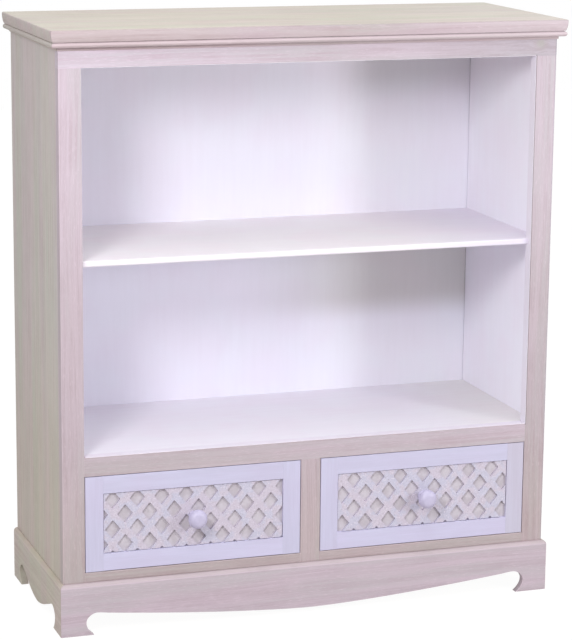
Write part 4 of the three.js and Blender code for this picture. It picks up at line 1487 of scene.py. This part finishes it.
def fretted_lattice(side):
    node = f"drawer_{side}_lattice"
    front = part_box(node)[0].y
    values = dict(
        LATTICE, Width=2 * (PANEL_HALF_WIDTH - LATTICE_ROOM),
        Height=2 * (PANEL_HALF_HEIGHT - LATTICE_ROOM), Material=lattice_finish,
    )
    values["Shift Across"] = LATTICE_SHIFT[side]
    centre = DRAWER_X if side == "right" else -DRAWER_X
    shape = new_shape()
    shape.from_mesh(grown(f"{node}_flat", fretting, values))
    shape.transform(Matrix((
        (1, 0, 0, centre), (0, 0, -1, front), (0, 1, 0, DRAWER_Z), (0, 0, 0, 1),
    )))
    bmesh.ops.remove_doubles(shape, verts=shape.verts, dist=LATTICE_WELD)
    largest_body(shape)
    shape.normal_update()
    mark_lattice(shape, front)
    return present(f"{node}_fretted", shape, lattice_finish, node)


lattices = [fretted_lattice(side) for side in SIDES]
print("lattices with", [len(item.data.polygons) for item in lattices], "faces")

# %% [markdown]
# ## Turned knobs and their screws
# A knob comes off a lathe, so it is a profile spun about an axis: a small foot, a slim neck and
# a round, domed cap. The profile is the drawing's own, with more points, and the spin is written
# out as rings of vertices, which closes the pole at the face cleanly. The screw that holds the
# knob from inside the drawer is turned the same way, and its head gets a cross recess.

# %% Turned pieces
POLE = 1e-7


def turned(profile, centre, segments):
    """Spins (radius, height) pairs about an axis along -Y. A radius of nought is a pole."""
    shape = new_shape()
    rows = [
        [
            shape.verts.new((
                centre[0] + radius * math.cos(2 * math.pi * i / segments), centre[1] - height,
                centre[2] + radius * math.sin(2 * math.pi * i / segments),
            ))
            for i in range(segments if radius > POLE else 1)
        ]
        for radius, height in profile
    ]
    for lower, upper in zip(rows, rows[1:]):
        for i in range(segments):
            ring = [lower[i % len(lower)], lower[(i + 1) % len(lower)]]
            ring += [upper[(i + 1) % len(upper)], upper[i % len(upper)]]
            shape.faces.new(list(dict.fromkeys(ring)))
    return shape


# %% Knobs
KNOB_SEGMENTS = 96
KNOB_RADIUS = 14.5 * MM
KNOB_FOOT = 8 * MM
KNOB_NECK = 5.5 * MM
KNOB_NECK_TOP, KNOB_RIM = 0.28, 0.68
KNOB_HOLE = (2.3 * MM, 13 * MM)
KNOB_WHITE = (191, 185, 213)
KNOB_CLOUD = (198, 192, 219)
KNOB_SPECK = (216, 210, 228)


def knob_profile(height):
    """Pairs of radius and height, from the screw's hole over the foot and neck to the face."""
    radius, foot, slim = KNOB_RADIUS, KNOB_FOOT, KNOB_NECK
    neck, rim = KNOB_NECK_TOP * height, KNOB_RIM * height
    hole, hole_depth = KNOB_HOLE
    foot_top, dome = (foot, 2.4 * MM), (radius / 2, height - 0.5 * MM)
    return [
        (0, hole_depth), (hole, hole_depth), (hole, 0), (foot, 0),
        *bend((foot, 0), (foot + 0.8 * MM, 1.2 * MM), foot_top, steps=6),
        *bend(foot_top, (slim, 3.4 * MM), (slim, neck), steps=8),
        *bend((slim, neck), (slim, neck + 6 * MM), (radius, neck + 4 * MM), (radius, rim), steps=14),
        *bend(
            (radius, rim), (radius, height - 4 * MM), (radius - 4 * MM, height - 1.2 * MM), dome,
            steps=14,
        ),
        *bend(dome, (radius / 4, height), (0, height), steps=6),
    ]


def knob_paint(name):
    """The gloss of the knob's paint hides the brush, and only soft clouds are left."""
    material, place = new_finish(name)
    clouds = cloud_noise(place, 71, 0.008)
    specks = cloud_noise(place, 72, 0.0009)
    cloudy = mixed(ramp(clouds, 0.35, 0.65), tone(KNOB_CLOUD), tone(KNOB_WHITE))
    fine = mixed(ramp(specks, 0.55, 0.75, 0.0, 0.15), cloudy, tone(KNOB_SPECK))
    return coat(material, fine, ramp(clouds, 0.3, 0.7, 0.42, 0.34), (specks, 0.05 * MM, 0.2))


knob_finish = knob_paint("knob_gloss")


def knob(side):
    node = f"drawer_{side}_knob"
    low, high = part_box(node)
    centre = ((low.x + high.x) / 2, high.y, (low.z + high.z) / 2)
    shape = turned(knob_profile(high.y - low.y), centre, KNOB_SEGMENTS)
    return present(f"{node}_turned", shape, knob_finish, node)


knobs = [knob(side) for side in SIDES]
print("knobs", [tuple(round(size, 4) for size in item.dimensions) for item in knobs])

# %% Knob screws
SCREW_SEGMENTS = 32
SCREW_RADIUS = 2 * MM
SCREW_HEAD = (4 * MM, 2.2 * MM)
RECESS = (4.4 * MM, 0.9 * MM, 1.4 * MM)


def cross_recess(item, middle):
    """Cuts a cross into the head of a screw, whose outer face has this middle."""
    length, width, depth = RECESS
    for across, up in ((length, width), (width, length)):
        half = Vector((across / 2, depth, up / 2))
        cutter = new_item("recess_bar", box_shape(middle - half, middle + half))
        cut = item.modifiers.new("recess", "BOOLEAN")
        cut.operation = "DIFFERENCE"
        cut.solver = "EXACT"
        cut.object = cutter
        item.data = as_mesh(item, item.name)
        item.modifiers.remove(cut)
        bpy.data.objects.remove(cutter)


def knob_screw(side):
    node = f"drawer_{side}_knob_screw"
    low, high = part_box(node)
    radius, height = SCREW_HEAD
    shank = high.y - height - low.y
    middle = Vector(((low.x + high.x) / 2, high.y, (low.z + high.z) / 2))
    profile = [
        (0, -height), *bend((0, -height), (radius, -height), (radius, -height / 3), steps=8),
        (radius, 0), (SCREW_RADIUS, 0), (SCREW_RADIUS, shank - SCREW_RADIUS), (0, shank),
    ]
    shape = turned(profile, middle - Vector((0, height, 0)), SCREW_SEGMENTS)
    bmesh.ops.recalc_face_normals(shape, faces=shape.faces)
    draft = new_item(f"{node}_draft", shape)
    cross_recess(draft, middle)
    shape = new_shape()
    shape.from_mesh(draft.data)
    bpy.data.objects.remove(draft)
    return present(f"{node}_turned", shape, bright_steel, node)


screws = [knob_screw(side) for side in SIDES]
print("knob screws with", [len(item.data.polygons) for item in screws], "faces")

# %% [markdown]
# ## Brads, by Geometry Nodes
# The back board is nailed to the carcass. A row of brads repeats one small domed head along a
# line, each driven at a slightly different angle, so a tree makes a row from its two ends and a
# count, and all the rows are joined into one piece.

# %% Brad rows
BRAD = {"Radius": 1.1 * MM, "Dome": 0.4 * MM}
BRAD_INSET = 4 * MM
BRAD_TILT = 0.12
BRAD_TURN = 3.0
BRADS_UP, BRADS_ACROSS = 9, 7
BACKWARDS = (0.0, 1.0, 0.0)


def brad_tree():
    """A row of domed heads. Facing is the way that the heads look."""
    tree = Tree("brad_row")
    start, end, facing = (tree.entry(name, "Vector") for name in ("Start", "End", "Facing"))
    count, radius, dome = tree.entry("Count", "Int"), tree.entry("Radius"), tree.entry("Dome")
    seed = tree.entry("Seed", "Int")
    ends = {"Count": count, "Start Location": start, "Offset": end}
    line = tree.part("MeshLine", ends, mode="END_POINTS")
    head = tree.part("MeshUVSphere", {"Segments": 12, "Rings": 6, "Radius": 1.0})
    head = tree.part("Transform", {"Geometry": head, "Scale": tree.vector(radius, radius, dome)})
    upright = tree.turn("AlignRotationToVector", {"Vector": facing}, axis="Z")
    tilt = tree.turn("RandomValue", {
        0: (-BRAD_TILT, -BRAD_TILT, 0.0), 1: (BRAD_TILT, BRAD_TILT, BRAD_TURN), "Seed": seed,
    }, data_type="FLOAT_VECTOR")
    tilt = tree.turn("EulerToRotation", {"Euler": tilt})
    turn = {"Rotation": upright, "Rotate By": tilt}
    turn = tree.turn("RotateRotation", turn, rotation_space="LOCAL")
    heads = {"Points": line, "Instance": head, "Rotation": turn}
    return tree.close(tree.part("InstanceOnPoints", heads))


brad_rows = brad_tree()


def nailed(name, body, rows):
    """rows holds (start, end, count) for each row of brads on a body."""
    shape = new_shape()
    for number, (start, end, count) in enumerate(rows):
        values = dict(
            BRAD, Start=start, End=end, Count=count, Facing=BACKWARDS, Seed=number,
            Material=bright_steel,
        )
        shape.from_mesh(grown(f"{name}_{number}", brad_rows, values))
    return present(name, shape, bright_steel, body=body)


def back_brads():
    """Round the rim of the back board, and along the shelf, the deck and the bottom."""
    low, high = panel_low, panel_high
    left, right, rear = low.x + BRAD_INSET, high.x - BRAD_INSET, high.y
    bottom, top = low.z + BRAD_INSET, high.z - BRAD_INSET
    rows = [((x, rear, bottom), (x, rear, top), BRADS_UP) for x in (left, right)]
    inner = (right - left) / (BRADS_ACROSS + 1)
    held = ("shelf", "deck_board", "bottom_board")
    for z in [top] + [sum(corner.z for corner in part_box(node)) / 2 for node in held]:
        rows.append(((left + inner, rear, z), (right - inner, rear, z), BRADS_ACROSS))
    return nailed("back_brads", "cabinet", rows)


brads = back_brads()
print("back board nailed with", len(brads.data.polygons), "faces of brads")

# %% [markdown]
# ## Floor, light and surroundings
# The bookcase was photographed in a white studio: a lamp on each side in front, the left one
# higher and stronger, two wide ones overhead, and soft light from everywhere else. The right
# lamp stands low, so that its light reaches far up into both compartments, and where neither
# lamp comes, high up on the right, the back board lies in shade. The floor is a plain pale
# tone. The camera sees world and floor as plain white, through the Light Path node, and the
# object is lit by a world that is dimmer than that.

# %% Floor and lights
LAMPS = {
    "lamp_left": {"place": (-1.06, -1.30, 1.27), "size": 0.42, "watts": 14.2},
    "lamp_right": {"place": (1.06, -1.30, 0.75), "size": 0.35, "watts": 7.8},
    "lamp_over": {"place": (0.0, -0.15, 2.40), "size": 1.40, "watts": 8.6},
    "lamp_front_over": {"place": (0.0, -1.20, 2.20), "size": 1.40, "watts": 7.8},
}
LAMP_AIM = Vector((0.0, 0.0, 0.50))
AMBIENT = 0.50
WHITE = (1.0, 1.0, 1.0, 1.0)
FLOOR_TONE = (203, 198, 194)
FLOOR_SIZE = 12.0
FLOOR_GLOW = 1.12
SEEN_GLOW = 0.86


def shows_background(tree):
    """1 for rays that show the background: from the camera, in gloss and through glass."""
    path = put(tree, "ShaderNodeLightPath").outputs
    camera_ray, glossy_ray, through_ray = (
        Value(tree, path[kind]) for kind in ("Is Camera Ray", "Is Glossy Ray", "Is Transmission Ray")
    )
    return calc("MAXIMUM", calc("MAXIMUM", camera_ray, glossy_ray), through_ray)


def studio_world():
    world = bpy.data.worlds.new("studio")
    world.use_nodes = True
    bpy.context.scene.world = world
    tree = world.node_tree
    light = tree.nodes["Background"]
    feed(tree, light.inputs["Color"], WHITE)
    feed(tree, light.inputs["Strength"], shows_background(tree) * (1.0 - AMBIENT) + AMBIENT)
    return world


def floor_finish(name):
    """A plain pale floor that the camera sees nearly white, with the object's shadow on it."""
    material = bpy.data.materials.new(name)
    material.use_nodes = True
    tree = material.node_tree
    coat(material, tone(FLOOR_TONE), 0.9)
    lit = result(tree, "ShaderNodeMixShader", {
        0: shows_background(tree) * SEEN_GLOW,
        1: Value(tree, tree.nodes["Principled BSDF"].outputs[0]),
        2: result(tree, "ShaderNodeEmission", {"Color": WHITE, "Strength": FLOOR_GLOW}),
    })
    feed(tree, tree.nodes["Material Output"].inputs["Surface"], lit)
    return material


def studio_floor():
    shape = bmesh.new()
    bmesh.ops.create_grid(shape, x_segments=4, y_segments=4, size=FLOOR_SIZE / 2)
    floor = new_item("studio_floor", shape)
    floor.data.materials.append(floor_finish("studio_floor"))
    return floor


def studio_lamp(name, place, size, watts):
    data = bpy.data.lights.new(name, "AREA")
    data.shape = "DISK"
    data.size = size
    data.energy = watts
    return aimed(new_item(name, data), place, LAMP_AIM - Vector(place))


world, floor = studio_world(), studio_floor()
lights = [studio_lamp(name, **lamp) for name, lamp in LAMPS.items()]
bpy.context.scene.view_settings.view_transform = "Standard"
print("lamps:", {item.name: item.data.energy for item in lights})
